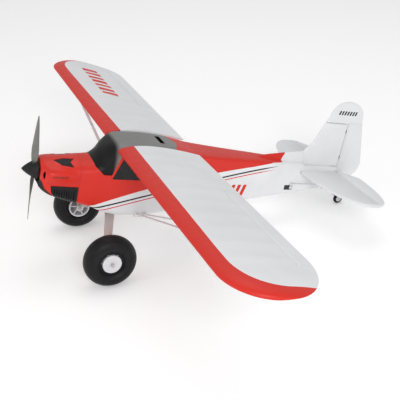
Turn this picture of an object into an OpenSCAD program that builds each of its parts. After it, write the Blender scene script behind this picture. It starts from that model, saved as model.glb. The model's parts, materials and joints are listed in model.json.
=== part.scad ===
// High-wing electric trainer aeroplane moulded in foam, standing on its three wheels.
// Modelled level (X forward, Y left, Z up, wing leading edge at X = 0), then tipped nose-up
// so that both main wheels and the tail wheel touch Z = 0. Millimetres.

/* [Wing] */
// Wing span, tip to tip
span = 1300; // [1250:10:1350]
// Wing chord
chord = 187; // [180:1:194]
// Aerofoil thickness as a share of the chord
thickness_ratio = 0.125; // [0.11:0.005:0.14]
// Rise of each wing half
dihedral = 0.4; // [0:0.1:1]
// Largest aileron deflection that the bevel leaves room for
aileron_throw = 25; // [15:1:27]

/* [Body] */
// Half of the cabin width
cabin_half = 49; // [48:1:50]
// Wall of the foam body
foam_wall = 8; // [6:1:9]

/* [Landing gear] */
// Main tyre radius
tyre_r = 57; // [52:1:60]
// Main tyre width
tyre_w = 43; // [38:1:46]
// Distance of each main wheel from the centre line
track_half = 140; // [136:1:144]
// Height of the wing chord line above the main axles
axle_drop = 208; // [200:1:216]

/* [Propulsion] */
// Propeller diameter
prop_d = 229; // [203:1:240]
// Spinner radius
spinner_r = 20; // [18:1:22]

/* [Tail] */
// Half span of the stabilizer
stab_half = 208; // [200:1:216]
// Height of the fin tip above the rudder's lower end
fin_rise = 194.5; // [188:0.5:200]

/* [Hidden] */

red = "#d63a2c";
white = "#f1f1f3";
black = "#202022";
grey = "#8b8b89";
steel = "#b9bcc0";

// Wing and aileron places, in the wing's own frame
wing_z = 11;
camber = 0.02;
camber_at = 0.4;
hinge_share = 0.8;
hinge_x = -hinge_share * chord;
aileron_in = 262;
aileron_out = 556;
aileron_gap = 1;
servo_y = 330;
arm_len = 20;
tip_le_x = 0.435 * chord;
tip_le_y = 85;
tip_te_x = chord - tip_le_x - 6;
tip_te_y = 121;

// Body places
nose_x = 150;
firewall_x = 70;
post_x = -581;
thrust_z = -55.5;
hatch_floor_z = 8;
spar_x = -60;

// Landing gear places
axle_x = 11;
axle_z = wing_z - axle_drop;
axle_r = 2;
running_gap = 0.06;
tail_x = -614.5;
tail_z = -102;
tail_r = 12.5;
strap_t = 2.5;
strap_z = -141.5;

// Tail places
stab_z = -29.5;
stab_t = 8;
elevator_x = -578.5;
rudder_x = -583.5;
fin_t = 7;
rudder_low = -46;
balance_z = 95;
tail_servo_x = -453;
tail_servo_z = -68;
tail_arm = 12;
elevator_horn_y = 20;
elevator_horn_len = 28;
rudder_horn_len = 15;
rod_r = 0.75;

// The nose-up angle that brings all three tyres to the ground
wheel_base = norm([axle_x - tail_x, axle_z - tail_z]);
stance_angle = asin((tyre_r - tail_r) / wheel_base) + atan2(tail_z - axle_z, axle_x - tail_x);
ground_z = tyre_r - (axle_x * sin(stance_angle) + axle_z * cos(stance_angle));
spinner_tip_x = 185;
rudder_tip = [-650, -4];
front_reach = spinner_tip_x * cos(stance_angle) - thrust_z * sin(stance_angle);
rear_reach = rudder_tip[0] * cos(stance_angle) - rudder_tip[1] * sin(stance_angle);
centre_x = (front_reach + rear_reach) / 2;

module stance() translate([-centre_x, 0, ground_z]) rotate([0, -stance_angle, 0]) children();
module right() mirror([0, 1, 0]) children();

// ---------- Body loft: one section at each station, nose to tail ----------
half_width = [[post_x, 11], [-530, 15], [-480, 19], [-380, 29.5], [-280, 39.5], [-190, 47],
    [-130, cabin_half], [0, cabin_half], [30, cabin_half - 0.5], [firewall_x, 46], [120, 43.5],
    [140, 40.5], [147, 37], [nose_x, 33]];
top_z = [[post_x, -16], [-530, -12], [-480, -8.5], [-430, -5], [-352, 0], [-280, 4], [-190, 10.5],
    [-140, 20], [-125, 22.5], [-108, 24.5], [-73, 26.3], [-40, 25.8], [-10, 23.5], [0, 21.5],
    [10, 16.5], [20, 7.5], [29, -3.5], [42, -18.5], [firewall_x, -21.5], [120, -25], [147, -28.5],
    [nose_x, -31]];
shoulder_z = [[post_x, -22], [-280, -6], [-190, 2], [-140, 6], [-20, 8], [0, -20], [13, -44],
    [42, -44], [firewall_x, -47], [nose_x, -52]];
crown_power = [[post_x, 2.6], [-140, 5], [-20, 7], [0, 4.5], [13, 3.2], [29, 1.8], [42, 2],
    [nose_x, 2]];
bottom_z = [[post_x, -65], [-540, -72], [-489, -80], [-339, -100.5], [-135, -129], [-74, -139],
    [-26, -139], [-6, -137], [17, -131], [40, -121.5], [firewall_x, -115], [121, -102],
    [142, -93], [nose_x, -86]];
corner_r = [[post_x, 6], [-489, 9], [-300, 12], [-74, 14], [40, 13], [121, 15], [nose_x, 22]];
stations = concat([post_x, -555], [for (x = [-530:50:-230]) x], [-205], [for (x = [-190:15:-40]) x],
    [-25, -10, 0, 7, 13, 20, 25, 29, 36, 42, 56, firewall_x, 88, 105, 121, 132, 140, 147, nose_x]);

crown_steps = 14;
corner_steps = 4;
function signed_power(v, p) = sign(v) * pow(abs(v), p);
function ring(x, inset) =
    let (w = lookup(x, half_width) - inset, zt = lookup(x, top_z) - inset,
         zs = min(lookup(x, shoulder_z), zt - 2), n = lookup(x, crown_power),
         zb = lookup(x, bottom_z) + inset, r = max(lookup(x, corner_r) - inset, 1))
    concat(
        [for (i = [0:crown_steps]) let (a = 180 * i / crown_steps)
            [x, w * signed_power(cos(a), 2 / n), zs + (zt - zs) * pow(max(sin(a), 0), 2 / n)]],
        [for (i = [0:corner_steps]) let (a = 180 + 90 * i / corner_steps)
            [x, -w + r + r * cos(a), zb + r + r * sin(a)]],
        [for (i = [0:corner_steps]) let (a = 270 + 90 * i / corner_steps)
            [x, w - r + r * cos(a), zb + r + r * sin(a)]]);
module loft(rings) {
    count = len(rings[0]);
    last = len(rings) - 1;
    polyhedron(
        points = [for (r = rings) each r],
        faces = concat(
            [[for (i = [0:count - 1]) i]],
            [for (s = [0:last - 1], i = [0:count - 1]) let (j = (i + 1) % count, a = s * count)
                [a + i, a + count + i, a + count + j]],
            [for (s = [0:last - 1], i = [0:count - 1]) let (j = (i + 1) % count, a = s * count)
                [a + i, a + count + j, a + j]],
            [[for (i = [count - 1:-1:0]) last * count + i]]),
        convexity = 8);
}
module body_loft(inset = 0, from = post_x, to = nose_x) {
    inner = [for (x = stations) if (x > from && x < to) x];
    loft([for (x = concat([from], inner, [to])) ring(x, inset)]);
}
module side_prism(points, y0, y1) translate([0, y1, 0]) rotate([90, 0, 0])
    linear_extrude(y1 - y0) polygon(points);

// Side view of the lift-off hatch: windshield in front, roof between the wings behind
hatch_outline = [[45, -18], [40, -28], [21, -44.5], [4, -44.5], [-14, hatch_floor_z],
    [-152, hatch_floor_z], [-152, 40], [45, 40]];
module hatch_space(gap = 0) intersection() {
    side_prism(hatch_outline, -60, 60);
    linear_extrude(200, center = true)
        polygon([[60, -60], [60, 60], [-126 - gap, 60], [-150 - gap, 0], [-126 - gap, -60]]);
}

window_low = -53;
window_high = -5;
function window_panes() = [
    [[2.5, window_low], [-17, window_high], [-70, window_high], [-70, window_low]],
    [[-77, window_low], [-77, window_high], [-142, window_high], [-118, window_low]]];
module window_prisms() for (pane = window_panes()) side_prism(pane, -60, 60);

// ---------- Fuselage halves ----------
// Ridge that climbs the rear deck to the fin: [station, half width at foot, at top, height]
ridge_line = [[-478, 8, 3.5, 19], [-430, 15, 3.5, 12.3], [-385, 19, 4, 5.5], [-345, 20, 5, -2]];
ridge_foot = -16;
module deck_ridge() loft([for (r = ridge_line)
    [[r[0], r[1], ridge_foot], [r[0], r[2], r[3]], [r[0], -r[2], r[3]], [r[0], -r[1], ridge_foot]]]);
bay_front = 62;
bay_back = -170;
tail_servo_body = [23, 12, 18];
module tail_servo_pocket(sgn) translate([tail_servo_x - 6, sgn > 0 ? 2 : -30, tail_servo_z - 6.2])
    cube([23.4, 28, 12.4]);
module fuselage_body() difference() {
    union() {
        body_loft(0, post_x, firewall_x);
        deck_ridge();
    }
    // Battery and radio bay, open upwards under the hatch
    intersection() {
        body_loft(foam_wall, bay_back, bay_front);
        translate([-300, -100, -200]) cube([400, 200, 260]);
    }
    translate([-120, -cabin_half + foam_wall, -20])
        cube([112, 2 * (cabin_half - foam_wall), 60]);
    // Pocket that holds the firewall
    translate([bay_front - 0.1, -34, -100]) cube([20, 68, 66]);
    // Hollow tail cone for the servo leads
    body_loft(foam_wall, -430, bay_back + 8);
    hatch_space();
    // Seat and slot of the stabilizer, the fin's foot and the elevator joiner
    translate([-640, -40, stab_z - stab_t / 2]) cube([640 - 473, 80, stab_t]);
    side_prism([[-640, -14], [-478, -14], [-478, 30], [-640, 30]], -40, 40);
    translate([elevator_x, 0, stab_z]) rotate([90, 0, 0])
        cylinder(h = 80, r = 2.6, center = true, $fn = 24);
    // Slot that the rudder horn swings in
    translate([-600, -30, horn_z - 3.2]) cube([600 + post_x + 11, 60, 7]);
    // Spar tube, servo pockets and window recesses
    translate([spar_x, 0, wing_z + 2]) rotate([90, 0, 0])
        cylinder(h = 120, r = 5, center = true, $fn = 32);
    tail_servo_pocket(1);
    tail_servo_pocket(-1);
    difference() {
        window_prisms();
        body_loft(1.2, -200, 60);
    }
}
module fuselage_half(low_y) color(white) stance() intersection() {
    fuselage_body();
    translate([-700, low_y, -200]) cube([900, 100, 300]);
}
module fuselage_left() fuselage_half(0);
module fuselage_right() fuselage_half(-100);

// ---------- Hatch ----------
hatch_t = 5;
latch_x = -108;
hatch_gap = 0.4;
module hatch() color(black) stance() difference() {
    intersection() {
        body_loft(0, -160, 60);
        translate([0, 0, hatch_gap]) hatch_space(-hatch_gap);
    }
    // Hollow underside
    intersection() {
        body_loft(hatch_t, -104, 38);
        translate([-160, -100, -60]) cube([190, 200, 120]);
    }
    // Finger slot over the latch
    translate([latch_x, 0, 20]) cube([9, 42, 30], center = true);
    translate([spar_x, 0, wing_z + 2]) rotate([90, 0, 0])
        cylinder(h = 120, r = 6.5, center = true, $fn = 32);
    translate([spar_x - 6.5, -60, -10]) cube([13, 120, wing_z + 12]);
    side_prism([[-17, -60], [30, -60], [30, -43], [4, -43]], -60, 60);
}
module hatch_latch() color(black) stance() union() {
    translate([latch_x - 1, 0, 15]) cube([2.4, 40, 7.6], center = true);
    translate([latch_x - 1, 0, 13]) cube([5, 14, 3], center = true);
}

// ---------- Cowl ----------
vent_plan = [[126, 17], [104, 10.5], [80, 13], [90, 25], [84, 38], [109, 33]];
fins_box = [[71.5, -75], [123, -75], [117, -100], [112, -125], [71.5, -125]];
chin_line = [[156, -66], [150, -68], [143, -86], [119, -104], [119, -130], [156, -130]];
cowl_wall = 3;
module vent_prisms() for (s = [-1, 1]) linear_extrude(200, center = true)
    polygon([for (p = vent_plan) [p[0], s * p[1]]]);
module cheeks(grow = 0) for (s = [-1, 1]) hull() {
    translate([128, s * 34, -52.5]) sphere(r = 14 + grow, $fn = 28);
    translate([78, s * 42, -51]) sphere(r = 6 + grow, $fn = 20);
}
module cowl() color(red) stance() difference() {
    union() {
        difference() {
            body_loft(0, firewall_x + 0.3, nose_x);
            body_loft(cowl_wall, firewall_x - 1, nose_x - cowl_wall);
        }
        difference() {
            intersection() {
                cheeks();
                translate([firewall_x + 0.3, -60, -80]) cube([73, 120, 60]);
            }
            body_loft(cowl_wall, firewall_x - 1, nose_x - cowl_wall);
        }
    }
    translate([130, 0, thrust_z]) rotate([0, 90, 0]) cylinder(h = 40, r = 25, $fn = 64);
    intersection() {
        vent_prisms();
        translate([60, -60, -50]) cube([80, 120, 60]);
    }
    side_prism(fins_box, -60, 60);
    side_prism(chin_line, -60, 60);
    for (s = [-1, 1]) translate([141, s * 36, -53]) cube([14, 6, 15], center = true);
}
module chin_scoop() color(black) stance() difference() {
    intersection() {
        body_loft(-1.2, 110, nose_x);
        side_prism([for (p = chin_line) [p[0], p[1] - 0.3]], -50, 50);
    }
    body_loft(cowl_wall, 100, nose_x - 4);
    translate([130, 0, thrust_z]) rotate([0, 90, 0]) cylinder(h = 40, r = 25.6, $fn = 64);
    translate([140, 0, -85.5]) cube([40, 36, 9], center = true);
}
module cooling_fins() color(black) stance() for (s = [-1, 1]) difference() {
    intersection() {
        body_loft(-1.6, firewall_x, 126);
        side_prism([for (p = fins_box) [p[0] + (p[0] > 100 ? -0.3 : 0.3), p[1] - 0.3]],
            s > 0 ? 22 : -50, s > 0 ? 50 : -22);
    }
    body_loft(cowl_wall, 60, 140);
    for (x = [76:5.2:120]) translate([x, s * 44, -100]) difference() {
        cube([2.2, 30, 40], center = true);
        translate([0, -s * 8, 6]) cube([4, 24, 40], center = true);
    }
}
module cowl_vents() color(black) stance() intersection() {
    difference() {
        body_loft(1, 75, 130);
        body_loft(cowl_wall, 74, 131);
    }
    vent_prisms();
    translate([60, -60, -50]) cube([80, 120, 60]);
}

// ---------- Power train ----------
module shaft_x(x0, x1, r) translate([x0, 0, thrust_z]) rotate([0, 90, 0])
    cylinder(h = x1 - x0, r = r, $fn = 48);
module firewall() color("#c9a06a") stance() difference() {
    translate([bay_front, -34, -100]) cube([firewall_x - bay_front - 0.5, 68, 66]);
    shaft_x(50, 80, 9);
}
module motor_stator() color(steel) stance() difference() {
    union() {
        shaft_x(firewall_x - 0.5, firewall_x + 3, 17);
        shaft_x(firewall_x + 3, firewall_x + 36, 9);
        for (k = [0:11]) translate([0, 0, thrust_z]) rotate([k * 30, 0, 0])
            translate([firewall_x + 12, -1.6, 8]) cube([20, 3.2, 3.5]);
    }
    shaft_x(60, 120, 2 + running_gap);
}
module motor_can() color("#2b2b2e") stance() union() {
    difference() {
        shaft_x(firewall_x + 9, firewall_x + 40, 15);
        shaft_x(firewall_x + 8, firewall_x + 37, 13);
    }
    shaft_x(firewall_x + 1, 178, 2);
}
module spinner_backplate() color("#2b2b2e") stance() difference() {
    shaft_x(nose_x + 1.5, nose_x + 3.5, spinner_r + 0.8);
    shaft_x(nose_x, nose_x + 5, 2);
}
// Spinner profile: a pointed ogive with a small round tip
spinner_len = spinner_tip_x - nose_x - 3.5;
function ogive(r, l, steps) = [for (i = [0:steps]) let (t = i / steps)
    [r * pow(1 - pow(t, 1.35), 0.85), l * t]];
blade_slot = 7.5;
module spinner() color(black) stance() difference() {
    translate([nose_x + 3.5, 0, thrust_z]) rotate([0, 90, 0]) rotate_extrude($fn = 64)
        polygon(concat([[0, 0]], ogive(spinner_r, spinner_len, 12)));
    translate([nose_x + 3, 0, thrust_z]) rotate([0, 90, 0])
        cylinder(h = 14, r = 11.4, $fn = 48);
    shaft_x(nose_x + 3, 178.5, 2.05);
    for (s = [0, 180]) translate([0, 0, thrust_z]) rotate([s, 0, 0])
        translate([nose_x + 3, -blade_slot, 6]) cube([12, 2 * blade_slot, 30]);
}
// Blade: thin twisted sections from the hub to the tip
blade_stations = [6, 11, 20, 32, 46, 62, 80, 96, 108, 114];
blade_chord = [[6, 9], [20, 15.5], [46, 25], [80, 20], [108, 8.5], [114.5, 3]];
blade_pitch = 127;
prop_x = nose_x + 9.5;
function blade_ring(r, n = 12) =
    let (c = lookup(r, blade_chord), th = 0.8 + c * 0.09,
         turn = atan(blade_pitch / (2 * PI * max(r, 22))))
    [for (i = [n - 1:-1:0]) let (a = 360 * i / n, u = c / 2 * cos(a), v = th / 2 * sin(a) + c * 0.04)
        [v * cos(turn) - u * sin(turn), v * sin(turn) + u * cos(turn), r * prop_d / 229]];
module propeller() color(grey) stance() difference() {
    union() {
        shaft_x(nose_x + 3.6, nose_x + 15.5, 11);
        for (s = [0, 180]) translate([prop_x, 0, thrust_z]) rotate([s + 3, 0, 0])
            loft([for (r = blade_stations) blade_ring(r)]);
    }
    shaft_x(nose_x, 180, 2);
}

// ---------- Inside the bay ----------
module speed_controller() color("#35353a") stance() translate([bay_front - 11, -15, -99])
    cube([11, 30, 42]);
battery_corner = [-99, -17, -126];
battery_size = [96, 34, 26];
module battery() color("#3d6fb5") stance() translate(battery_corner) cube(battery_size);
// Strap round the battery, with the pad that lifts it off the bay floor
module battery_strap() color(black) stance() difference() {
    translate([-60, -19, -139 + foam_wall]) cube([18, 38, 32.5]);
    translate([-61, -17, -126]) cube([20, 34, 26]);
}
module receiver() color("#4a4a4e") stance() translate([-140, -12, -118]) cube([40, 24, 14]);
module side_windows() color(black) stance() difference() {
    intersection() {
        difference() {
            body_loft(-0.3, -200, 60);
            body_loft(1.2, -201, 61);
        }
        window_prisms();
    }
    translate([-300, -30, -200]) cube([400, 60, 300]);
}

// ---------- Wing ----------
surface_steps = 11;
function half_thick(t) = 5 * thickness_ratio * (0.2969 * sqrt(t) - 0.126 * t
    - 0.3516 * t * t + 0.2843 * pow(t, 3) - 0.1015 * pow(t, 4));
function camber_z(t) = t < camber_at
    ? camber / pow(camber_at, 2) * (2 * camber_at * t - t * t)
    : camber / pow(1 - camber_at, 2) * (1 - 2 * camber_at + 2 * camber_at * t - t * t);
function share(i) = (1 - cos(180 * i / surface_steps)) / 2;
function edge_cut(y, start, long, deep) =
    let (u = min(max(y - start, 0) / long, 1)) deep * (1 - sqrt(1 - u * u));
function wing_ring(y) =
    let (le = -edge_cut(y, span / 2 - tip_le_y, tip_le_y, tip_le_x),
         te = -chord + edge_cut(y, span / 2 - tip_te_y, tip_te_y, tip_te_x),
         c = le - te, tall = chord * pow(c / chord, 0.8))
    concat(
        [for (i = [0:surface_steps]) let (t = share(i))
            [le - c * t, y, tall * (camber_z(t) + half_thick(t)) + 0.5 * t]],
        [for (i = [surface_steps:-1:1]) let (t = share(i))
            [le - c * t, y, tall * (camber_z(t) - half_thick(t)) - 0.5 * t]]);
tip_steps = 8;
wing_stations = concat([cabin_half + 0.3, 200, 380, span / 2 - tip_te_y],
    [for (i = [1:tip_steps]) span / 2 - tip_te_y * (1 - sin(90 * i / (tip_steps + 0.35)))]);
hinge_z = chord * camber_z(hinge_share);
module wing_frame() translate([0, cabin_half, wing_z]) rotate([dihedral, 0, 0])
    translate([0, -cabin_half, 0]) children();
module wing_solid() loft([for (y = wing_stations) wing_ring(y)]);
module wing_half() color(white) difference() {
    wing_frame() difference() {
        wing_solid();
        translate([-chord - 10, aileron_in, -30])
            cube([chord + 10 + hinge_x + aileron_gap, aileron_out - aileron_in, 60]);
        translate([hinge_x + 46, servo_y - 14, -30]) cube([23.4, 12.5, 35.2 + hinge_z]);
        translate([hinge_x + 38.5, servo_y - 1.7, -30]) cube([27, 5, 35.2 + hinge_z]);
    }
    translate([spar_x, cabin_half - 1, wing_z + 2]) rotate([-90, 0, 0])
        cylinder(h = 248, r = 5.1, $fn = 32);
}
module wing_left() stance() wing_half();
module wing_right() stance() right() wing_half();
module wing_spar() color(black) stance() translate([spar_x, 0, wing_z + 2])
    rotate([90, 0, 0]) difference() {
        cylinder(h = 2 * 296, r = 5, center = true, $fn = 32);
        cylinder(h = 600, r = 4, center = true, $fn = 32);
    }

// Aileron with a bevelled nose whose point lies on the hinge line
bevel = 34;
notch_ys = [aileron_in + 24, (aileron_in + aileron_out) / 2 + 12, aileron_out - 26];
function skin_z(t, side) = chord * (camber_z(t) + side * half_thick(t)) + side * 0.5 * t;
bevel_share = hinge_share + tan(bevel) * chord * half_thick(hinge_share) / chord;
aileron_shares = [bevel_share, 0.88, 0.94, 1];
function aileron_ring(y) =
    let (te = -chord + edge_cut(y, span / 2 - tip_te_y, tip_te_y, tip_te_x),
         squeeze = (hinge_x - te) / (hinge_x + chord))
    concat(
        [[hinge_x, y, hinge_z]],
        [for (t = aileron_shares) [hinge_x + (hinge_share - t) * chord * squeeze, y, skin_z(t, 1)]],
        [for (i = [3:-1:0]) let (t = aileron_shares[i])
            [hinge_x + (hinge_share - t) * chord * squeeze, y, skin_z(t, -1)]]);
module aileron_half() color(white) wing_frame() difference() {
    loft([for (y = [aileron_in + 0.8, span / 2 - tip_te_y, 542, aileron_out - 0.8])
        aileron_ring(y)]);
    for (y = notch_ys) translate([hinge_x, y, hinge_z]) cube([7, 10, 8], center = true);
}
module aileron_left() stance() aileron_half();
module aileron_right() stance() right() aileron_half();

// Aileron drive: servo lying in the wing, arm below it, rod back to the horn
arm_x = hinge_x + 52;
drive_y = servo_y + 0.6;
module aileron_servo_half() color("#2c2c30") wing_frame() union() {
    translate([arm_x - 5.8, servo_y - 13.8, hinge_z - 7]) cube([23, 12, 12]);
    translate([arm_x, servo_y - 1.8, hinge_z]) rotate([-90, 0, 0])
        cylinder(h = 1.2, r = 3, $fn = 24);
}
module aileron_arm_half() color(white) wing_frame() difference() {
    union() {
        translate([arm_x, servo_y - 0.5, hinge_z]) rotate([-90, 0, 0])
            cylinder(h = 1.8, r = 3.6, $fn = 32);
        translate([arm_x - 2.4, servo_y - 0.5, hinge_z - arm_len]) cube([4.8, 1.8, arm_len]);
        translate([arm_x, servo_y - 0.5, hinge_z - arm_len]) rotate([-90, 0, 0])
            cylinder(h = 1.8, r = 2.4, $fn = 32);
    }
    translate([arm_x, servo_y, hinge_z - arm_len]) rotate([90, 0, 0])
        cylinder(h = 20, r = rod_r + running_gap, center = true, $fn = 24);
}
rod_y = servo_y + 3.4;
module link(p, q, r) {
    d = q - p;
    translate(p) rotate([0, acos(d[2] / norm(d)), atan2(d[1], d[0])])
        cylinder(h = norm(d), r = r, $fn = 20);
}
module fork(p, plate, tine, along, tall) translate(p) for (s = [-1, 1])
    translate([0, s * (plate / 2 + 0.45 + tine / 2), 0]) cube([along, tine, tall], center = true);
module aileron_rod_half() color(steel) wing_frame() union() {
    translate([arm_x, servo_y - 0.9, hinge_z - arm_len]) rotate([-90, 0, 0])
        cylinder(h = rod_y - servo_y + 0.9, r = rod_r, $fn = 24);
    translate([arm_x, rod_y, hinge_z - arm_len]) sphere(r = rod_r, $fn = 20);
    link([arm_x, rod_y, hinge_z - arm_len], [hinge_x + 9, rod_y, hinge_z - arm_len], rod_r);
    translate([hinge_x + 7.5, rod_y, hinge_z - arm_len]) cube([4, 5.5, 4], center = true);
    fork([hinge_x + 1.5, rod_y, hinge_z - arm_len], 1.6, 1.2, 10, 4);
}
horn_foot = [4.5, 18];
module aileron_horn_half() color(black) wing_frame() difference() {
    translate([0, rod_y - 0.8, 0]) union() {
        side_prism([[hinge_x - horn_foot[0], skin_z(hinge_share + horn_foot[0] / chord, -1) - 0.05],
            [hinge_x - horn_foot[1], skin_z(hinge_share + horn_foot[1] / chord, -1) - 0.05],
            [hinge_x - 2.6, hinge_z - arm_len], [hinge_x + 2.6, hinge_z - arm_len]], 0, 1.6);
        translate([hinge_x, 0, hinge_z - arm_len]) rotate([-90, 0, 0])
            cylinder(h = 1.6, r = 2.6, $fn = 32);
    }
    translate([hinge_x, rod_y, hinge_z - arm_len]) rotate([90, 0, 0])
        cylinder(h = 10, r = 0.9, center = true, $fn = 24);
}
module aileron_servo_left() stance() aileron_servo_half();
module aileron_servo_right() stance() right() aileron_servo_half();
module aileron_arm_left() stance() aileron_arm_half();
module aileron_arm_right() stance() right() aileron_arm_half();
module aileron_rod_left() stance() aileron_rod_half();
module aileron_rod_right() stance() right() aileron_rod_half();
module aileron_horn_left() stance() aileron_horn_half();
module aileron_horn_right() stance() right() aileron_horn_half();

// ---------- Hinges of all five control surfaces ----------
barrel_r = 0.9;
module hinge_leaf(x0, x1) union() {
    translate([x0, -4, -0.5]) cube([x1 - x0, 8, 1]);
    translate([x0, 0, 0]) rotate([90, 0, 0]) cylinder(h = 8, r = barrel_r, center = true, $fn = 20);
}
elevator_hinge_ys = [58, 150];
rudder_hinge_zs = [8, 74];
module surface_hinges() color(black) stance() {
    for (side = [0, 1]) mirror([0, side, 0]) {
        wing_frame() for (y = notch_ys) translate([0, y, hinge_z])
            hinge_leaf(hinge_x, hinge_x + aileron_gap);
        for (y = elevator_hinge_ys) translate([0, y, stab_z])
            hinge_leaf(elevator_x, elevator_x + 2.5);
    }
    for (z = rudder_hinge_zs) translate([0, 0, z]) rotate([90, 0, 0])
        hinge_leaf(rudder_x, rudder_x + 2.5);
}

// ---------- Wing struts ----------
strut_root = [-75, 42, -135];
strut_tops = [[-25, 392, 0], [-110, 388, 0]];
strut_chord = 8;
strut_thick = 3.4;
function ellipse(a, b, n) = [for (i = [0:n - 1]) [a * cos(360 * i / n), b * sin(360 * i / n)]];
function strut_low(k) = strut_root + [k == 0 ? 7 : -7, 0, 0];
module strut(p, q) {
    d = q - p;
    translate(p) rotate([0, acos(d[2] / norm(d)), atan2(d[1], d[0])])
        linear_extrude(norm(d)) polygon(ellipse(strut_thick / 2, strut_chord / 2, 16));
}
module strut_pair() for (k = [0, 1])
    strut(strut_low(k) + [0, 6.4, 2.2], strut_tops[k] - [0, 4.4, 2.2]);
module wing_struts() color("#d9d9da") stance() {
    strut_pair();
    right() strut_pair();
}
module strut_bracket_set() difference() {
    union() {
        translate(strut_root + [0, 5, 0.5]) cube([30, 6, 10], center = true);
        for (top = strut_tops) translate(top) intersection() {
            translate([0, 0, 2]) cube([16, 9, 9], center = true);
            translate([-10, -10, -3]) cube([20, 20, 5.4 + (top[0] < -60 ? 2.2 : 0)]);
        }
    }
    strut_pair();
    body_loft(0, -120, -30);
}
module strut_brackets() color("#d9d9da") stance() {
    strut_bracket_set();
    right() strut_bracket_set();
}

// ---------- Main landing gear ----------
leg_y0 = 26;
foot_y = 113;
leg_z1 = axle_z + 8;
leg_run = norm([foot_y - leg_y0, strap_z - leg_z1]);
leg_slope = atan2(strap_z - leg_z1, foot_y - leg_y0);
strap_x = -13;
module leg() {
    translate([0, leg_y0, strap_z]) rotate([-leg_slope, 0, 0]) translate([0, 0, -strap_t])
        linear_extrude(strap_t) polygon([[strap_x - 11, -1], [strap_x + 11, -1],
            [axle_x + 8, leg_run + 0.6], [axle_x - 8, leg_run + 0.6]]);
    translate([0, foot_y, axle_z]) rotate([-90, 0, 0]) difference() {
        union() {
            translate([axle_x - 8, -10, 0]) cube([16, 10, strap_t]);
            translate([axle_x, 0, 0]) cylinder(h = strap_t, r = 8, $fn = 40);
        }
        translate([axle_x, 0, -5]) cylinder(h = 12, r = axle_r, $fn = 32);
    }
}
// Countersunk screws, flush with the strap's underside
module strap_screws(r = 2.8, steps = 24) for (x = [-6, 6], y = [-16, 16])
    translate([strap_x + x, y, strap_z - strap_t]) cylinder(h = strap_t, r = r, $fn = steps);
module gear_strap() color("#b7a9a6") stance() difference() {
    union() {
        translate([strap_x - 11, -leg_y0, strap_z - strap_t]) cube([22, 2 * leg_y0, strap_t]);
        leg();
        right() leg();
    }
    strap_screws();
}
// Plate between the strap and the body's flat belly
module gear_plate() color("#d8d8da") stance() translate([strap_x - 18, -24.5, strap_z])
    cube([36, 49, -139 - strap_z]);
module gear_fasteners() color(steel) stance() {
    difference() {
        strap_screws();
        translate([0, 0, -0.8]) strap_screws(1.2, 6);
    }
    for (side = [0, 1]) mirror([0, side, 0]) {
        for (y = [foot_y - 3.6, track_half + tyre_w / 2 + 0.6]) translate([axle_x, y, axle_z])
            rotate([-90, 0, 0]) difference() {
                cylinder(h = 3.4, r = 4, $fn = 6);
                translate([0, 0, -1]) cylinder(h = 6, r = axle_r, $fn = 32);
            }
    }
}
module axles() color(steel) stance() for (side = [0, 1]) mirror([0, side, 0])
    translate([axle_x, foot_y - 5, axle_z]) rotate([-90, 0, 0])
        cylinder(h = track_half + tyre_w / 2 + 5 - foot_y + 5, r = axle_r, $fn = 32);
hub_r = 24.5;
hub_out_r = 20.2;
// Tyre: a balloon section with a bead that fits the hub
crown = 10;
function tyre_profile() = concat(
    [[hub_r, -tyre_w / 2 + 1.4], [hub_r + 9, -tyre_w / 2]],
    [for (i = [0:crown]) let (a = -78 + 156 * i / crown)
        [tyre_r - 17 + 17 * cos(a), (tyre_w / 2 - 0.2) * sin(a) / sin(78) * 0.98]],
    [[hub_r + 9, tyre_w / 2], [hub_r, tyre_w / 2 - 1.4]]);
module tyre() color("#1e1e20") translate([axle_x, track_half, axle_z]) rotate([-90, 0, 0])
    rotate_extrude($fn = 72) polygon(tyre_profile());
module hub() color(white) translate([axle_x, track_half, axle_z]) rotate([-90, 0, 0])
    difference() {
        union() {
            difference() {
                translate([0, 0, -tyre_w / 2 + 1.4]) cylinder(h = tyre_w - 2.8, r = hub_r, $fn = 72);
                translate([0, 0, -tyre_w / 2 - 1]) cylinder(h = tyre_w - 5, r = hub_r - 3, $fn = 72);
            }
            translate([0, 0, tyre_w / 2 - 6]) cylinder(h = 6, r = hub_out_r, $fn = 72);
            translate([0, 0, -tyre_w / 2 + 1]) cylinder(h = tyre_w - 4, r = 5.5, $fn = 32);
            for (a = [0:60:300]) rotate([0, 0, a]) translate([4, -1, -tyre_w / 2 + 4])
                cube([hub_r - 5, 2, tyre_w - 9]);
        }
        translate([0, 0, -60]) cylinder(h = 120, r = axle_r + running_gap, $fn = 32);
    }
module tyre_left() stance() tyre();
module tyre_right() stance() right() tyre();
module hub_left() stance() hub();
module hub_right() stance() right() hub();

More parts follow.
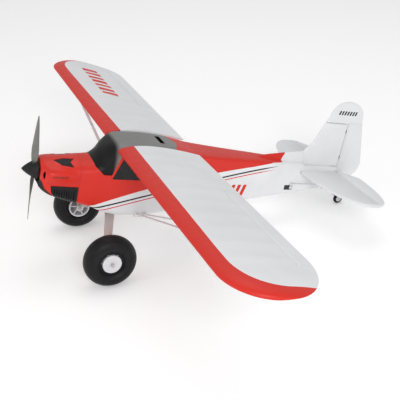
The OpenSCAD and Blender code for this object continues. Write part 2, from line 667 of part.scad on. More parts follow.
// ---------- Tail surfaces ----------
fin_lean = -0.413;
fin_foot_x = -478;
function fin_le(z) = fin_foot_x + fin_lean * (z + 8);
module upright(points, t) side_prism(points, -t / 2, t / 2);
module fin() color(white) stance() difference() {
    upright([[-478.4, -14], [fin_le(-8), -8], [fin_le(balance_z - 2), balance_z - 2],
        [post_x, balance_z - 2], [post_x, -14]], fin_t);
    translate([-640, -40, stab_z - stab_t / 2]) cube([200, 80, stab_t]);
}
tip_centre = [-575, 110];
tip_rx = 46;
tip_rz = fin_rise + rudder_low - 110;
heel_rx = 38;
heel_rz = 44;
arc_steps = 14;
edge_flat = 0.2;
module rudder() color(white) stance() difference() {
    upright(concat(
        [[rudder_x, rudder_low], [rudder_x, balance_z], [fin_le(balance_z), balance_z]],
        [for (i = [0:arc_steps]) let (a = 180 * i / arc_steps)
            tip_centre + [tip_rx * cos(a), tip_rz * sin(a)]],
        [for (i = [0:arc_steps / 2]) let (a = 90 * i / (arc_steps / 2))
            [-612 - heel_rx * cos(a), -2 - heel_rz * sin(a)]]), fin_t);
    // Bevel of the hinge edge, so that the rudder swings clear of the post
    for (s = [-1, 1]) translate([rudder_x, 0, 0]) rotate([0, 0, s * bevel])
        translate([edge_flat, s > 0 ? -1 : -11, rudder_low - 1])
            cube([12, 12, balance_z - rudder_low + 0.4]);
    for (z = rudder_hinge_zs) translate([rudder_x, 0, z]) cube([7, 8, 10], center = true);
}
lead_a = 84;
trail_a = 50.5;
tail_mid_x = -557;
function super(a, b, n, steps, from, to) = [for (i = [0:steps]) let (t = from + (to - from) * i / steps)
    [tail_mid_x + a * pow(sin(t), 2 / n), b * pow(cos(t), 2 / n)]];
function stab_outline() = concat([[elevator_x + 2.5, 0]], [[tail_mid_x + lead_a, 0]],
    super(lead_a, stab_half, 2.15, 16, 90, 0), [[elevator_x + 2.5, stab_half - 0.5]]);
module flat_tail(points) translate([0, 0, stab_z - stab_t / 2]) linear_extrude(stab_t)
    polygon(points);
module stabilizer() color(white) stance() difference() {
    union() {
        flat_tail(stab_outline());
        right() flat_tail(stab_outline());
    }
    translate([elevator_x, 0, stab_z]) rotate([90, 0, 0])
        cylinder(h = 140, r = 2.3, center = true, $fn = 24);
}
trail_reach = 72;
function trail_points() = [for (i = [0:16]) let (t = 78 * i / 16)
    [tail_mid_x - trail_reach * pow(sin(t + 12), 2 / 3), stab_half * pow(cos(t + 12), 2 / 3)]];
module elevator_half() color(white) difference() {
    flat_tail(concat([[elevator_x, 12.5], [elevator_x, 205]],
        [for (p = trail_points()) if (p[0] < elevator_x - 0.5 && p[1] > 40) p], [[-616, 29]]));
    translate([elevator_x, 0, stab_z]) for (s = [-1, 1]) rotate([0, s * bevel, 0])
        translate([0, 0, s > 0 ? 0 : -20]) cube([12, 400, 20]);
    translate([elevator_x, 0, stab_z]) rotate([-90, 0, 0]) cylinder(h = 52, r = 2, $fn = 32);
    for (y = elevator_hinge_ys) translate([elevator_x, y, stab_z]) cube([7, 10, 8], center = true);
}
module elevator_left() stance() elevator_half();
module elevator_right() stance() right() elevator_half();
module horn_plate(x, z, drop) difference() {
    union() {
        side_prism([[x - 1.5, z - 4], [x - 18, z - 4], [x - 2.6, z - drop], [x + 2.6, z - drop]],
            -0.8, 0.8);
        translate([x, 0.8, z - drop]) rotate([90, 0, 0]) cylinder(h = 1.6, r = 2.6, $fn = 32);
    }
    translate([x, 0, z - drop]) rotate([90, 0, 0])
        cylinder(h = 10, r = 0.9, center = true, $fn = 24);
}
module elevator_joiner() color(black) stance() union() {
    translate([elevator_x, 0, stab_z]) rotate([90, 0, 0])
        cylinder(h = 104, r = 2, center = true, $fn = 32);
    translate([0, elevator_horn_y, 0]) horn_plate(elevator_x, stab_z, elevator_horn_len);
}

// ---------- Tail drive: a servo in each side of the tail cone ----------
tail_face_y = 21.6;
module tail_servo() color("#2c2c30") union() {
    translate([tail_servo_x - 5.8, tail_face_y - tail_servo_body[2], tail_servo_z - 5.9])
        cube([23, tail_servo_body[2], 11.8]);
    translate([tail_servo_x, tail_face_y, tail_servo_z]) rotate([-90, 0, 0])
        cylinder(h = 1.4, r = 3, $fn = 24);
}
arm_face_y = tail_face_y + 1.4;
module tail_arm_part() color(white) difference() {
    union() {
        for (p = [[tail_servo_z, 3.4], [tail_servo_z + tail_arm, 2.3]])
            translate([tail_servo_x, arm_face_y, p[0]]) rotate([-90, 0, 0])
                cylinder(h = 1.6, r = p[1], $fn = 32);
        translate([tail_servo_x - 2.3, arm_face_y, tail_servo_z]) cube([4.6, 1.6, tail_arm]);
    }
    translate([tail_servo_x, 0, tail_servo_z + tail_arm]) rotate([-90, 0, 0])
        cylinder(h = 60, r = rod_r + running_gap, $fn = 24);
}
tail_rod_y = arm_face_y + 3.4;
module tail_rod(q, flat) color(steel) union() {
    p = [tail_servo_x, tail_rod_y, tail_servo_z + tail_arm];
    d = q - p;
    knee = p + d * (1 - 12 / norm(d));
    translate([tail_servo_x, arm_face_y - 0.1, p[2]]) rotate([-90, 0, 0])
        cylinder(h = tail_rod_y - arm_face_y + 0.1, r = rod_r, $fn = 24);
    translate(p) sphere(r = rod_r, $fn = 20);
    link(p, knee, rod_r);
    translate(knee) cube([4, flat ? 4 : 5.4, flat ? 6.4 : 4], center = true);
    for (s = [-1, 1]) translate([(knee[0] + q[0]) / 2 - 1.2, 0, 0])
        translate([0, q[1] + (flat ? 0 : s * 1.9), q[2] + (flat ? s * 2.6 : 0)])
            cube([13, flat ? 4 : 1.2, flat ? 1.2 : 4], center = true);
}
module elevator_servo() stance() tail_servo();
module rudder_servo() stance() right() tail_servo();
module elevator_arm() stance() tail_arm_part();
module rudder_arm() stance() right() tail_arm_part();
module elevator_rod() stance()
    tail_rod([elevator_x, elevator_horn_y, stab_z - elevator_horn_len], false);
horn_z = rudder_low - 1.5;
// The rod sinks a little at both ends of its travel, so its fork rests that much high
fork_rise = 0.9;
module rudder_rod() stance() right()
    tail_rod([rudder_x, rudder_horn_len, horn_z + fork_rise], true);
module rudder_horn() color(black) stance() difference() {
    union() {
        translate([-601, -3.5, rudder_low - 3]) cube([20, 7, 3]);
        translate([rudder_x - 2.6, -rudder_horn_len, horn_z - 0.8])
            cube([4.8, rudder_horn_len, 1.6]);
        translate([rudder_x, -rudder_horn_len, horn_z - 0.8]) cylinder(h = 1.6, r = 2.6, $fn = 32);
    }
    translate([rudder_x, -rudder_horn_len, horn_z - 5]) cylinder(h = 10, r = 0.9, $fn = 24);
    translate([rudder_x, 0, rudder_low - 10]) cylinder(h = 20, r = wire_r, $fn = 24);
}

// ---------- Tail wheel ----------
wire_r = 1.2;
wire_low_z = -84;
tail_tyre_w = 9;
tail_side_y = -8;
module tail_wire() color(steel) stance() union() {
    translate([rudder_x, 0, wire_low_z]) cylinder(h = rudder_low - wire_low_z, r = wire_r, $fn = 24);
    translate([rudder_x, 0, wire_low_z]) sphere(r = wire_r + 0.1, $fn = 24);
    link([rudder_x, 0, wire_low_z], [tail_x, tail_side_y, tail_z], wire_r);
    translate([tail_x, tail_side_y, tail_z]) sphere(r = wire_r + 0.1, $fn = 24);
    translate([tail_x, tail_side_y, tail_z]) rotate([-90, 0, 0])
        cylinder(h = tail_tyre_w / 2 - tail_side_y + 1.6, r = wire_r, $fn = 24);
}
module tail_wheel() color("#1e1e20") stance() translate([tail_x, 0, tail_z]) rotate([90, 0, 0])
    difference() {
        rotate_extrude($fn = 48) polygon(concat([[0, -tail_tyre_w / 2], [7, -tail_tyre_w / 2]],
            [for (i = [0:8]) let (a = -80 + 20 * i)
                [tail_r - 4.5 + 4.5 * cos(a), tail_tyre_w / 2 * sin(a)]],
            [[7, tail_tyre_w / 2], [0, tail_tyre_w / 2]]));
        cylinder(h = 40, r = wire_r + running_gap, center = true, $fn = 24);
    }
module tail_bracket() color(black) stance() difference() {
    union() {
        translate([-566, -6, -74]) cube([12, 12, 4.6]);
        translate([rudder_x - 3, -3.5, -74]) cube([22, 7, 4]);
        translate([rudder_x, 0, -74]) cylinder(h = 4, r = 3.5, $fn = 32);
    }
    translate([rudder_x, 0, -80]) cylinder(h = 20, r = wire_r + running_gap, $fn = 24);
    body_loft(0, post_x, -500);
}

fuselage_left();
fuselage_right();
hatch();
hatch_latch();
cowl();
chin_scoop();
cooling_fins();
cowl_vents();
firewall();
motor_stator();
motor_can();
propeller();
spinner();
spinner_backplate();
speed_controller();
battery();
battery_strap();
receiver();
side_windows();
wing_left();
wing_right();
wing_spar();
aileron_left();
aileron_right();
aileron_servo_left();
aileron_servo_right();
aileron_arm_left();
aileron_arm_right();
aileron_rod_left();
aileron_rod_right();
aileron_horn_left();
aileron_horn_right();
surface_hinges();
wing_struts();
strut_brackets();
gear_strap();
gear_plate();
gear_fasteners();
axles();
tyre_left();
tyre_right();
hub_left();
hub_right();
fin();
stabilizer();
elevator_left();
elevator_right();
elevator_joiner();
elevator_servo();
elevator_arm();
elevator_rod();
rudder();
rudder_horn();
rudder_servo();
rudder_arm();
rudder_rod();
tail_bracket();
tail_wire();
tail_wheel();
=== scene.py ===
"""Looks of the foam trainer aeroplane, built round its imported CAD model.

Shapes are worked out level (X forward, Y left, Z up, wing leading edge at X = 0, millimetres)
and then tipped into the row frame, where the model stands nose-up on its three wheels.
"""

import json
from contextlib import contextmanager
from math import atan, copysign, cos, pi, radians, sin, sqrt, tau

import bmesh
import bpy
import numpy as np
from mathutils import Euler, Matrix, Vector
from mathutils.bvhtree import BVHTree
from mathutils.geometry import barycentric_transform

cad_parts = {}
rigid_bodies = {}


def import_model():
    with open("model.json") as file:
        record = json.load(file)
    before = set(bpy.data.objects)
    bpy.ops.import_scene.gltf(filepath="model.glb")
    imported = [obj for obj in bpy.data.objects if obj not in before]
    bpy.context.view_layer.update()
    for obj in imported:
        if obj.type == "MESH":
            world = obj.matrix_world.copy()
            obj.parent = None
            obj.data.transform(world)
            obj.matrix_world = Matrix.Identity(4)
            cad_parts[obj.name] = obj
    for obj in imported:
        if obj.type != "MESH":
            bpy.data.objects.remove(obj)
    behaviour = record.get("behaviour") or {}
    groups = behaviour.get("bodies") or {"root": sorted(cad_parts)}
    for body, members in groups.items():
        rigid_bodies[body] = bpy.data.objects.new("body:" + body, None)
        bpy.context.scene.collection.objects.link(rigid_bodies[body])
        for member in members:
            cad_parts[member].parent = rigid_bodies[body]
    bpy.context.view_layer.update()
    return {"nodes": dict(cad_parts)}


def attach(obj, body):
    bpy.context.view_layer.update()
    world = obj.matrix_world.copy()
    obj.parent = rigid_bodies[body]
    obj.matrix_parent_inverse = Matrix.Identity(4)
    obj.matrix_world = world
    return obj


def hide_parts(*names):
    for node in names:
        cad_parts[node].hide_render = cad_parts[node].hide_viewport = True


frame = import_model()
scene = bpy.context.scene

# ---- frames of reference
RUDDER_X = -583.5
STANCE = radians(12.66931)
GROUND_Z = 246.791
CENTRE_X = -220.314

TO_ROW = (
    Matrix.Scale(0.001, 4)
    @ Matrix.Translation((-CENTRE_X, 0, GROUND_Z))
    @ Matrix.Rotation(-STANCE, 4, "Y")
)
MIRROR = Matrix.Diagonal((1, -1, 1, 1))

# ---- sizes shared with the CAD
CHORD = 187
HALF_SPAN = 650
THICKNESS = 0.125
CAMBER, CAMBER_AT = 0.02, 0.4
CABIN_HALF = 49
WING_Z = 11
SPAR_X, SPAR_Z = -60, WING_Z + 2
DIHEDRAL = radians(0.4)
HINGE_SHARE = 0.8
HINGE_X = -HINGE_SHARE * CHORD
AILERON_IN, AILERON_OUT = 262, 556
SERVO_Y = 330
BEVEL = radians(34)
POST_X, FIREWALL_X, NOSE_X = -581, 70, 150
THRUST_Z = -55.5
STAB_Z, STAB_T, STAB_HALF = -29.5, 8, 208
ELEVATOR_X = -578.5
FIN_T = 7
RUDDER_LOW, BALANCE_Z = -46, 95
AXLE_X, AXLE_Z, TRACK_HALF = 11, -197, 140
TYRE_R, TYRE_W = 57, 43
TAIL_X, TAIL_Z, TAIL_R = -614.5, -102, 12.5
TAIL_SERVO_X, TAIL_SERVO_Z = -453, -68
FOAM_WALL = 8
RED_NOSE_X = 41
FINGER_X, FINGER_HALF_X, FINGER_HALF_Y = -108, 5.4, 21.6
SPINNER_R, SPINNER_TIP = 20, 185
PROP_D = 229


class Curve:
    """A smooth line through (station, value) points that doesn't overshoot them."""

    def __init__(self, *points):
        self.x, self.y = (np.array(c, float) for c in zip(*points))
        step = np.diff(self.x)
        slope = np.diff(self.y) / step
        before, after = slope[:-1], slope[1:]
        turns = before * after <= 0
        w1, w2 = 2 * step[1:] + step[:-1], step[1:] + 2 * step[:-1]
        safe_before = np.where(turns, 1, before)
        safe_after = np.where(turns, 1, after)
        inner = np.where(turns, 0, (w1 + w2) / (w1 / safe_before + w2 / safe_after))
        self.tangent = np.concatenate([slope[:1], inner, slope[-1:]])

    def __call__(self, x):
        x = min(max(x, self.x[0]), self.x[-1])
        i = min(max(int(np.searchsorted(self.x, x)) - 1, 0), len(self.x) - 2)
        h = self.x[i + 1] - self.x[i]
        t = (x - self.x[i]) / h
        return float(
            self.y[i] * (1 + 2 * t) * (1 - t) ** 2
            + self.y[i + 1] * t * t * (3 - 2 * t)
            + h * self.tangent[i] * t * (1 - t) ** 2
            - h * self.tangent[i + 1] * t * t * (1 - t)
        )


def fade(value, start, end):
    """0 before start, 1 after end, smooth between."""
    t = min(max((value - start) / (end - start), 0), 1)
    return t * t * (3 - 2 * t)


# ---- mesh tools (level frame, mm)
def new_object(name, verts, faces):
    mesh = bpy.data.meshes.new(name)
    mesh.from_pydata([tuple(v) for v in verts], [], faces)
    mesh.validate()
    obj = bpy.data.objects.new(name, mesh)
    scene.collection.objects.link(obj)
    return obj


def loft(rings):
    """Closed solid through rings of equal length."""
    count, last = len(rings[0]), len(rings) - 1
    faces = [
        (a + i, a + count + i, a + count + (i + 1) % count, a + (i + 1) % count)
        for a in range(0, last * count, count)
        for i in range(count)
    ]
    faces.append(tuple(range(count)))
    faces.append(tuple(last * count + i for i in reversed(range(count))))
    return face_outwards(new_object("loft", [p for r in rings for p in r], faces))


@contextmanager
def edited(mesh):
    """The mesh as a bmesh, written back at the end."""
    bm = bmesh.new()
    bm.from_mesh(mesh)
    yield bm
    bm.to_mesh(mesh)
    bm.free()


def face_outwards(obj):
    with edited(obj.data) as bm:
        bmesh.ops.recalc_face_normals(bm, faces=bm.faces)
    return obj


def prism(points, axis, low, high):
    """Outline pulled along an axis: points are the other two coordinates, in order."""
    at = "xyz".index(axis)
    return loft([[(*p[:at], d, *p[at:]) for p in points] for d in (low, high)])


def across(outline, reach=60):
    """Side-view outline pulled right through the model."""
    return prism(outline, "y", -reach, reach)


def box(low, high):
    corners = [(low[0], low[1]), (high[0], low[1]), (high[0], high[1]), (low[0], high[1])]
    return prism(corners, "z", low[2], high[2])


def block(centre, half):
    return box(Vector(centre) - Vector(half), Vector(centre) + Vector(half))


def circle(radius, steps):
    return [(radius * cos(tau * i / steps), radius * sin(tau * i / steps)) for i in range(steps)]


def turned(profile, origin, axis, steps=72):
    """Solid of revolution: profile is a closed list of (radius, distance along the axis)."""
    turn = Vector(axis).to_track_quat("Z", "Y").to_matrix()
    origin = Vector(origin)
    on_axis = [abs(r) < 1e-6 for r, _ in profile]
    verts, rows = [], []
    for (r, d), single in zip(profile, on_axis):
        rows.append(len(verts))
        for i in range(1 if single else steps):
            a = tau * i / steps
            verts.append(origin + turn @ Vector((r * cos(a), r * sin(a), d)))
    faces = []
    for k in range(len(profile)):
        n = (k + 1) % len(profile)
        if on_axis[k] and on_axis[n]:
            continue
        for i in range(steps):
            j = (i + 1) % steps
            a = [rows[k]] if on_axis[k] else [rows[k] + i, rows[k] + j]
            b = [rows[n]] if on_axis[n] else [rows[n] + j, rows[n] + i]
            faces.append(tuple(a + b))
    return face_outwards(new_object("turned", verts, faces))


def rod(start, end, radius, steps=24):
    length = (Vector(end) - Vector(start)).length
    profile = [(0, 0), (radius, 0), (radius, length), (0, length)]
    return turned(profile, start, Vector(end) - Vector(start), steps)


def cross_rod(x, z, low, high, radius):
    return rod((x, low, z), (x, high, z), radius)


def shaft(start, end, radius, steps):
    """Rod on the propeller's axis."""
    return rod((start, 0, THRUST_Z), (end, 0, THRUST_Z), radius, steps)


def applied(obj):
    """Replace obj's mesh with the result of its modifiers."""
    view = bpy.context.evaluated_depsgraph_get()
    result = bpy.data.meshes.new_from_object(obj.evaluated_get(view))
    obj.modifiers.clear()
    old, obj.data = obj.data, result
    bpy.data.meshes.remove(old)
    return obj


def combine(obj, operation, *tools):
    """Join, cut or intersect obj with closed tools, which are used up."""
    for tool in tools:
        step = obj.modifiers.new("combine", "BOOLEAN")
        step.operation, step.object, step.solver = operation, tool, "MANIFOLD"
        applied(obj)
        discard(tool)
    return obj


def cut(obj, *tools):
    return combine(obj, "DIFFERENCE", *tools)


def join(obj, *tools):
    return combine(obj, "UNION", *tools)


def common(obj, *tools):
    return combine(obj, "INTERSECT", *tools)


def copy_of(obj, matrix=None):
    twin = obj.copy()
    twin.data = obj.data.copy()
    scene.collection.objects.link(twin)
    if matrix is not None:
        twin.data.transform(matrix)
        if matrix.determinant() < 0:
            twin.data.flip_normals()
    return twin


def discard(*objs):
    for obj in objs:
        mesh = obj.data
        bpy.data.objects.remove(obj)
        bpy.data.meshes.remove(mesh)


class Skin:
    """A smooth surface whose normals a cut copy of it takes back."""

    def __init__(self, obj, spent=False):
        mesh = obj.data
        mesh.shade_smooth()
        mesh.calc_loop_triangles()
        co = [v.co.copy() for v in mesh.vertices]
        self.triangles = [tuple(t.vertices) for t in mesh.loop_triangles]
        self.co = co
        self.normals = [v.normal.copy() for v in mesh.vertices]
        self.tree = BVHTree.FromPolygons(co, self.triangles)
        if spent:
            discard(obj)

    def normal_at(self, point, reach):
        """The skin's normal at its spot nearest to point, or None beyond reach."""
        found, _, index, _ = self.tree.find_nearest(point, reach)
        if found is None:
            return None
        spots, normals = ([rows[i] for i in self.triangles[index]] for rows in (self.co, self.normals))
        return barycentric_transform(found, *spots, *normals).normalized()


def drop_crumbs(mesh, gap=0.002, smallest=0.5, fewest=8):
    """Close the doubled points a cut leaves and drop loose slivers under `smallest` mm."""
    with edited(mesh) as bm:
        bmesh.ops.remove_doubles(bm, verts=bm.verts, dist=gap)
        bmesh.ops.dissolve_degenerate(bm, dist=gap, edges=bm.edges)
        waiting, crumbs = set(bm.verts), []
        while waiting:
            island, front = set(), [waiting.pop()]
            while front:
                vert = front.pop()
                island.add(vert)
                reached = {edge.other_vert(vert) for edge in vert.link_edges} & waiting
                waiting -= reached
                front.extend(reached)
            if len(island) < fewest:
                low, high = (Vector(f(v.co[i] for v in island) for i in range(3)) for f in (min, max))
                if min(high - low) < smallest:
                    crumbs.extend(island)
        bmesh.ops.delete(bm, geom=crumbs, context="VERTS")


def shade(obj, *skins, sharp=30, reach=0.06, was_cut=True):
    """Sharp edges by angle; faces that lie on a skin take the skin's smooth normals."""
    mesh = obj.data
    if was_cut:
        drop_crumbs(mesh)
    mesh.shade_smooth()
    mesh.set_sharp_from_angle(angle=radians(sharp))
    if not skins:
        return obj
    normals = [Vector(n.vector) for n in mesh.corner_normals]
    for polygon in mesh.polygons:
        for loop in polygon.loop_indices:
            point = mesh.vertices[mesh.loops[loop].vertex_index].co
            for skin in skins:
                n = skin.normal_at(point, reach)
                if n is not None and abs(n.dot(polygon.normal)) > 0.8:
                    normals[loop] = n if n.dot(polygon.normal) > 0 else -n
                    break
    mesh.normals_split_custom_set(normals)
    return obj


def finish(obj, name, body, material, in_cad=True, matrix=Matrix()):
    """Name a finished piece, tip it into the row frame and fix it to its body."""
    for old in [o for o in scene.objects if o.name == name and o is not obj]:
        old.name = name + ".cad"
    obj.name = obj.data.name = name
    obj.data.transform(TO_ROW @ matrix)
    obj.data.materials.clear()
    obj.data.materials.append(material)
    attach(obj, body)
    if in_cad:
        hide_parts(name)


# ---- material tools
def fill(node, **values):
    """Set a node's inputs; an underscore in a name stands for a space."""
    for name, value in values.items():
        node.inputs[name.replace("_", " ")].default_value = value


class Field:
    """A number that varies over the surface: arithmetic on it adds Math nodes."""

    def __init__(self, tree, socket):
        self.tree, self.socket = tree, socket

    def math(self, operation, *others):
        node = self.tree.nodes.new("ShaderNodeMath")
        node.operation = operation
        for k, value in enumerate((self, *others)):
            if isinstance(value, Field):
                self.tree.links.new(value.socket, node.inputs[k])
            else:
                node.inputs[k].default_value = value
        return Field(self.tree, node.outputs[0])

    def __neg__(self):
        return self * -1

    def ramp(self, start, end, low=0.0, high=1.0):
        node = self.tree.nodes.new("ShaderNodeMapRange")
        node.interpolation_type = "SMOOTHSTEP"
        self.tree.links.new(self.socket, node.inputs["Value"])
        fill(node, From_Min=start, From_Max=end, To_Min=low, To_Max=high)
        return Field(self.tree, node.outputs["Result"])


# part() is the remainder after whole steps
for method, operation in {
    "__add__": "ADD", "__sub__": "SUBTRACT", "__mul__": "MULTIPLY", "__truediv__": "DIVIDE",
    "__pow__": "POWER", "__abs__": "ABSOLUTE", "__gt__": "GREATER_THAN", "__lt__": "LESS_THAN",
    "at_least": "MAXIMUM", "at_most": "MINIMUM", "part": "FLOORED_MODULO",
}.items():
    setattr(Field, method, lambda self, *others, kind=operation: self.math(kind, *others))


class Finish:
    """A material being built: level coordinates in mm, textures at real scale, one shader."""

    def __init__(self, name, colour, roughness, metallic=0.0, specular=0.5):
        self.base = colour
        self.height = self.colour_socket = None
        self.material = bpy.data.materials.new(name)
        self.material.use_nodes = True
        self.material.diffuse_color = (*colour, 1)
        self.tree = self.material.node_tree
        self.shader = self.tree.nodes["Principled BSDF"]
        fill(self.shader, Base_Color=(*colour, 1), Roughness=roughness, Metallic=metallic)
        fill(self.shader, Specular_IOR_Level=specular)
        to_level = TO_ROW.inverted()
        place = self.node("ShaderNodeMapping")
        fill(place, Location=to_level.translation, Rotation=to_level.to_euler(), Scale=(1000, 1000, 1000))
        self.link(self.node("ShaderNodeTexCoord").outputs["Object"], place.inputs["Vector"])
        self.level = place.outputs["Vector"]
        split = self.node("ShaderNodeSeparateXYZ")
        self.link(self.level, split.inputs[0])
        self.x, self.y, self.z = (Field(self.tree, o) for o in split.outputs)

    def node(self, kind):
        return self.tree.nodes.new(kind)

    def link(self, a, b):
        self.tree.links.new(a, b)

    def texture(self, kind, scale, output, **values):
        """A texture node read at the level coordinates times scale."""
        scaled = self.node("ShaderNodeVectorMath")
        scaled.operation = "MULTIPLY"
        self.link(self.level, scaled.inputs[0])
        scaled.inputs[1].default_value = scale
        node = self.node(kind)
        self.link(scaled.outputs[0], node.inputs["Vector"])
        fill(node, Scale=1, **values)
        return Field(self.tree, node.outputs[output])

    def noise(self, size, detail=3.0, stretch=(1, 1, 1)):
        """Noise from 0 to 1 whose lumps are about size mm across."""
        scale = [s / size for s in stretch]
        return self.texture("ShaderNodeTexNoise", scale, "Fac", Detail=detail, Roughness=0.55)

    def cells(self, size):
        """Distance from the middles of cells about size mm across."""
        return self.texture("ShaderNodeTexVoronoi", [1 / size] * 3, "Distance")

    def recolour(self, base, result):
        """Feed the colour so far into the socket base and go on with the socket result."""
        if self.colour_socket is None:
            base.default_value = (*self.base, 1)[: len(base.default_value)]
        else:
            self.link(self.colour_socket, base)
        self.colour_socket = result
        self.link(result, self.shader.inputs["Base Color"])

    def paint(self, colour, mask):
        """Cover what is there with colour wherever mask is 1."""
        mix = self.node("ShaderNodeMix")
        mix.data_type = "RGBA"
        factor, base, cover = (mix.inputs[k] for k in (0, 6, 7))
        cover.default_value = (*colour, 1)
        self.link(mask.socket, factor)
        self.recolour(base, mix.outputs[2])

    def vary(self, field, low, high):
        """Multiply the colour by low to high as field goes from 0 to 1."""
        node = self.node("ShaderNodeVectorMath")
        node.operation = "SCALE"
        self.link(field.ramp(0.25, 0.75, low, high).socket, node.inputs["Scale"])
        self.recolour(node.inputs[0], node.outputs[0])

    def rough(self, field, low, high):
        self.link(field.ramp(0.2, 0.8, low, high).socket, self.shader.inputs["Roughness"])

    def emboss(self, field, depth):
        """Add field times depth (mm) to the surface relief."""
        part = field * depth
        self.height = part if self.height is None else self.height + part

    def done(self):
        if self.height is not None:
            bump = self.node("ShaderNodeBump")
            fill(bump, Distance=0.001, Strength=1.0)
            self.link(self.height.socket, bump.inputs["Height"])
            self.link(bump.outputs["Normal"], self.shader.inputs["Normal"])
        return self.material


RED = (0.65, 0.023, 0.012)
DARK_RED = (0.16, 0.016, 0.012)
WHITE = (0.77, 0.775, 0.79)
BLACK = (0.008, 0.008, 0.0085)
# painted reflection: the grey that the studio light gives the hatch's black roof strip
ROOF_REFLECTION_GREY = (0.215, 0.215, 0.21)
RAW_FOAM = (0.70, 0.70, 0.70)


def foam(name, colour, low=0.36, high=0.5, specular=0.34):
    """Painted moulded foam: bead pattern, steam-vent dimples, slightly uneven paint."""
    made = Finish(name, colour, 0.42, specular=specular)
    made.emboss(made.cells(2.6), 0.045)
    made.emboss(made.noise(0.6), 0.02)
    made.rough(made.noise(9), low, high)
    return made


# ---- finishes
def bars(along, pitch, width, middle, half_run, start=0):
    """1 on a row of equal bars counted from start, within half_run of middle."""
    return ((along - start).part(pitch) < width) * (abs(along - middle) < half_run)


def body_livery():
    """White body with a red upper side, two pinstripes, plain slanted side bars and a raw foam bay.

    line is the height of the edge between red and white, a parabola behind the red nose.
    """
    made = foam("body_livery", WHITE)
    made.vary(made.noise(60), 0.96, 1.02)
    behind = (-made.x + RED_NOSE_X).at_least(0)
    line = behind * 0.3966 - behind * behind * 0.0002714 - 117
    spread = (behind / -90).math("EXPONENT")
    rise = (-made.x - 417).at_least(0) * 1.5
    edge = (line - ((behind - 210).at_least(0) * 0.055).at_most(9.2)).at_most(-5.6) + rise
    made.paint(RED, (made.z > edge).at_least(made.x > RED_NOSE_X))
    for colour, drop, half, x_end in (
        (BLACK, spread * -13 + 19.5, 1.8, -398),
        (RED, spread * -11 + 27, 1.2, -384),
    ):
        centre = line - drop
        along = made.x - made.z * 0.8
        inside = abs(made.z - centre) < ((along - x_end) * 0.02).at_most(1) * half
        made.paint(colour, inside * (along > x_end) * (made.x < 36) * (abs(made.y) > 8))
    row = bars(made.x + made.z * 0.28, pitch=15, width=9, middle=-318, half_run=27.4)
    made.paint(RED, row * (abs(made.z + 73.5) < 14) * (abs(made.y) > 12))
    roof_of_bay = (made.x > -8) * -46 + 7
    in_bay = (abs(made.y) < 41.3) * (abs(made.x + 54) < 116.5) * (made.z > -112)
    made.paint(RAW_FOAM, in_bay * (made.z < roof_of_bay))
    made.vary(made.noise(140, detail=1), 0.97, 1.01)
    return made.done()


def wing_livery():
    """White wing with a red leading edge that wraps the tip, and plain bars on the right side."""
    made = foam("wing_livery", WHITE)
    made.vary(made.noise(80), 0.965, 1.015)
    y = abs(made.y)
    back = (-made.x - 98).at_least(0)
    out = ((y + back * 0.1 - 540).at_least(0) / 87) ** 2.3
    width = ((y - 49) / 450).at_most(1) * 7 + 65
    forward = ((made.x + 98).at_least(0) / width) ** 2.3
    made.paint(RED, (out + forward) > 1)
    row = bars(made.y + made.x * 0.35, pitch=34, width=20, middle=-462, half_run=118, start=-22)
    made.paint(RED, row * (abs(made.x + 88) < 19) * (made.z > 12))
    return made.done()


def white_foam():
    made = foam("white_foam", WHITE)
    made.vary(made.noise(70), 0.965, 1.015)
    return made.done()


def fin_livery():
    made = foam("fin_livery", WHITE)
    made.vary(made.noise(70), 0.965, 1.015)
    row = bars(made.x + made.z * 0.3, pitch=7.5, width=4.5, middle=-537.75, half_run=25)
    made.paint(BLACK, row * (abs(made.z - 120.5) < 5))
    return made.done()


def cowl_paint():
    made = foam("cowl_paint", RED, 0.32, 0.44)
    made.vary(made.noise(45), 0.93, 1.05)
    row = bars(made.x + made.z * 0.4, pitch=5, width=3, middle=91, half_run=16)
    made.paint(DARK_RED, row * (abs(made.z + 53) < 2.6) * (abs(made.y) > 30))
    return made.done()


def hatch_film():
    """Black windshield that turns into grey on the roof strip between the wings: the grey is a painted
    reflection of the studio light on the same black film.
    """
    # The base colour is the painted reflection grey of the roof; the windshield in front is painted black,
    # changing over from x = -8 to 5.
    made = foam("hatch_film", ROOF_REFLECTION_GREY, 0.34, 0.46, 0.18)
    made.vary(made.noise(50), 0.95, 1.05)
    made.paint(BLACK, made.x.ramp(-8, 5))
    # Painted shade: the finger slot's walls and a thin rim round it are black, without the painted roof
    # reflection.
    slot_shade = (abs(made.x - FINGER_X) < FINGER_HALF_X + 0.5) * (abs(made.y) < FINGER_HALF_Y + 0.6)
    made.paint(BLACK, slot_shade * (made.z > 5))
    return made.done()


def window_gloss():
    made = Finish("window_gloss", (0.007, 0.007, 0.0075), 0.22, specular=0.36)
    made.emboss(made.noise(22, detail=1), 0.12)
    made.rough(made.noise(14), 0.16, 0.3)
    return made.done()


def moulded(name, colour, tint, grain, gloss, specular=0.5):
    """Moulded plastic: tint and gloss are (size of the patches, from, to), grain is (size, depth)."""
    made = Finish(name, colour, 0.4, specular=specular)
    made.vary(made.noise(tint[0]), *tint[1:])
    made.emboss(made.noise(grain[0], detail=4), grain[1])
    made.rough(made.noise(gloss[0]), *gloss[1:])
    return made.done()


def plastic(name, colour, low, high, change=0.06):
    """Injection-moulded plastic with a fine spark-eroded grain."""
    return moulded(name, colour, (12, 1 - change, 1 + change), (0.45, 0.03), (5, low, high))


def tyre_foam_skin():
    """Closed-cell foam tyre: fine pores and a scuffed, dusty tread."""
    made = Finish("tyre_foam_skin", (0.007, 0.007, 0.008), 0.46, specular=0.22)
    made.vary(made.noise(7), 0.8, 1.3)
    made.emboss(made.cells(0.7), 0.05)
    made.emboss(made.noise(3), 0.05)
    made.rough(made.noise(4), 0.4, 0.54)
    return made.done()


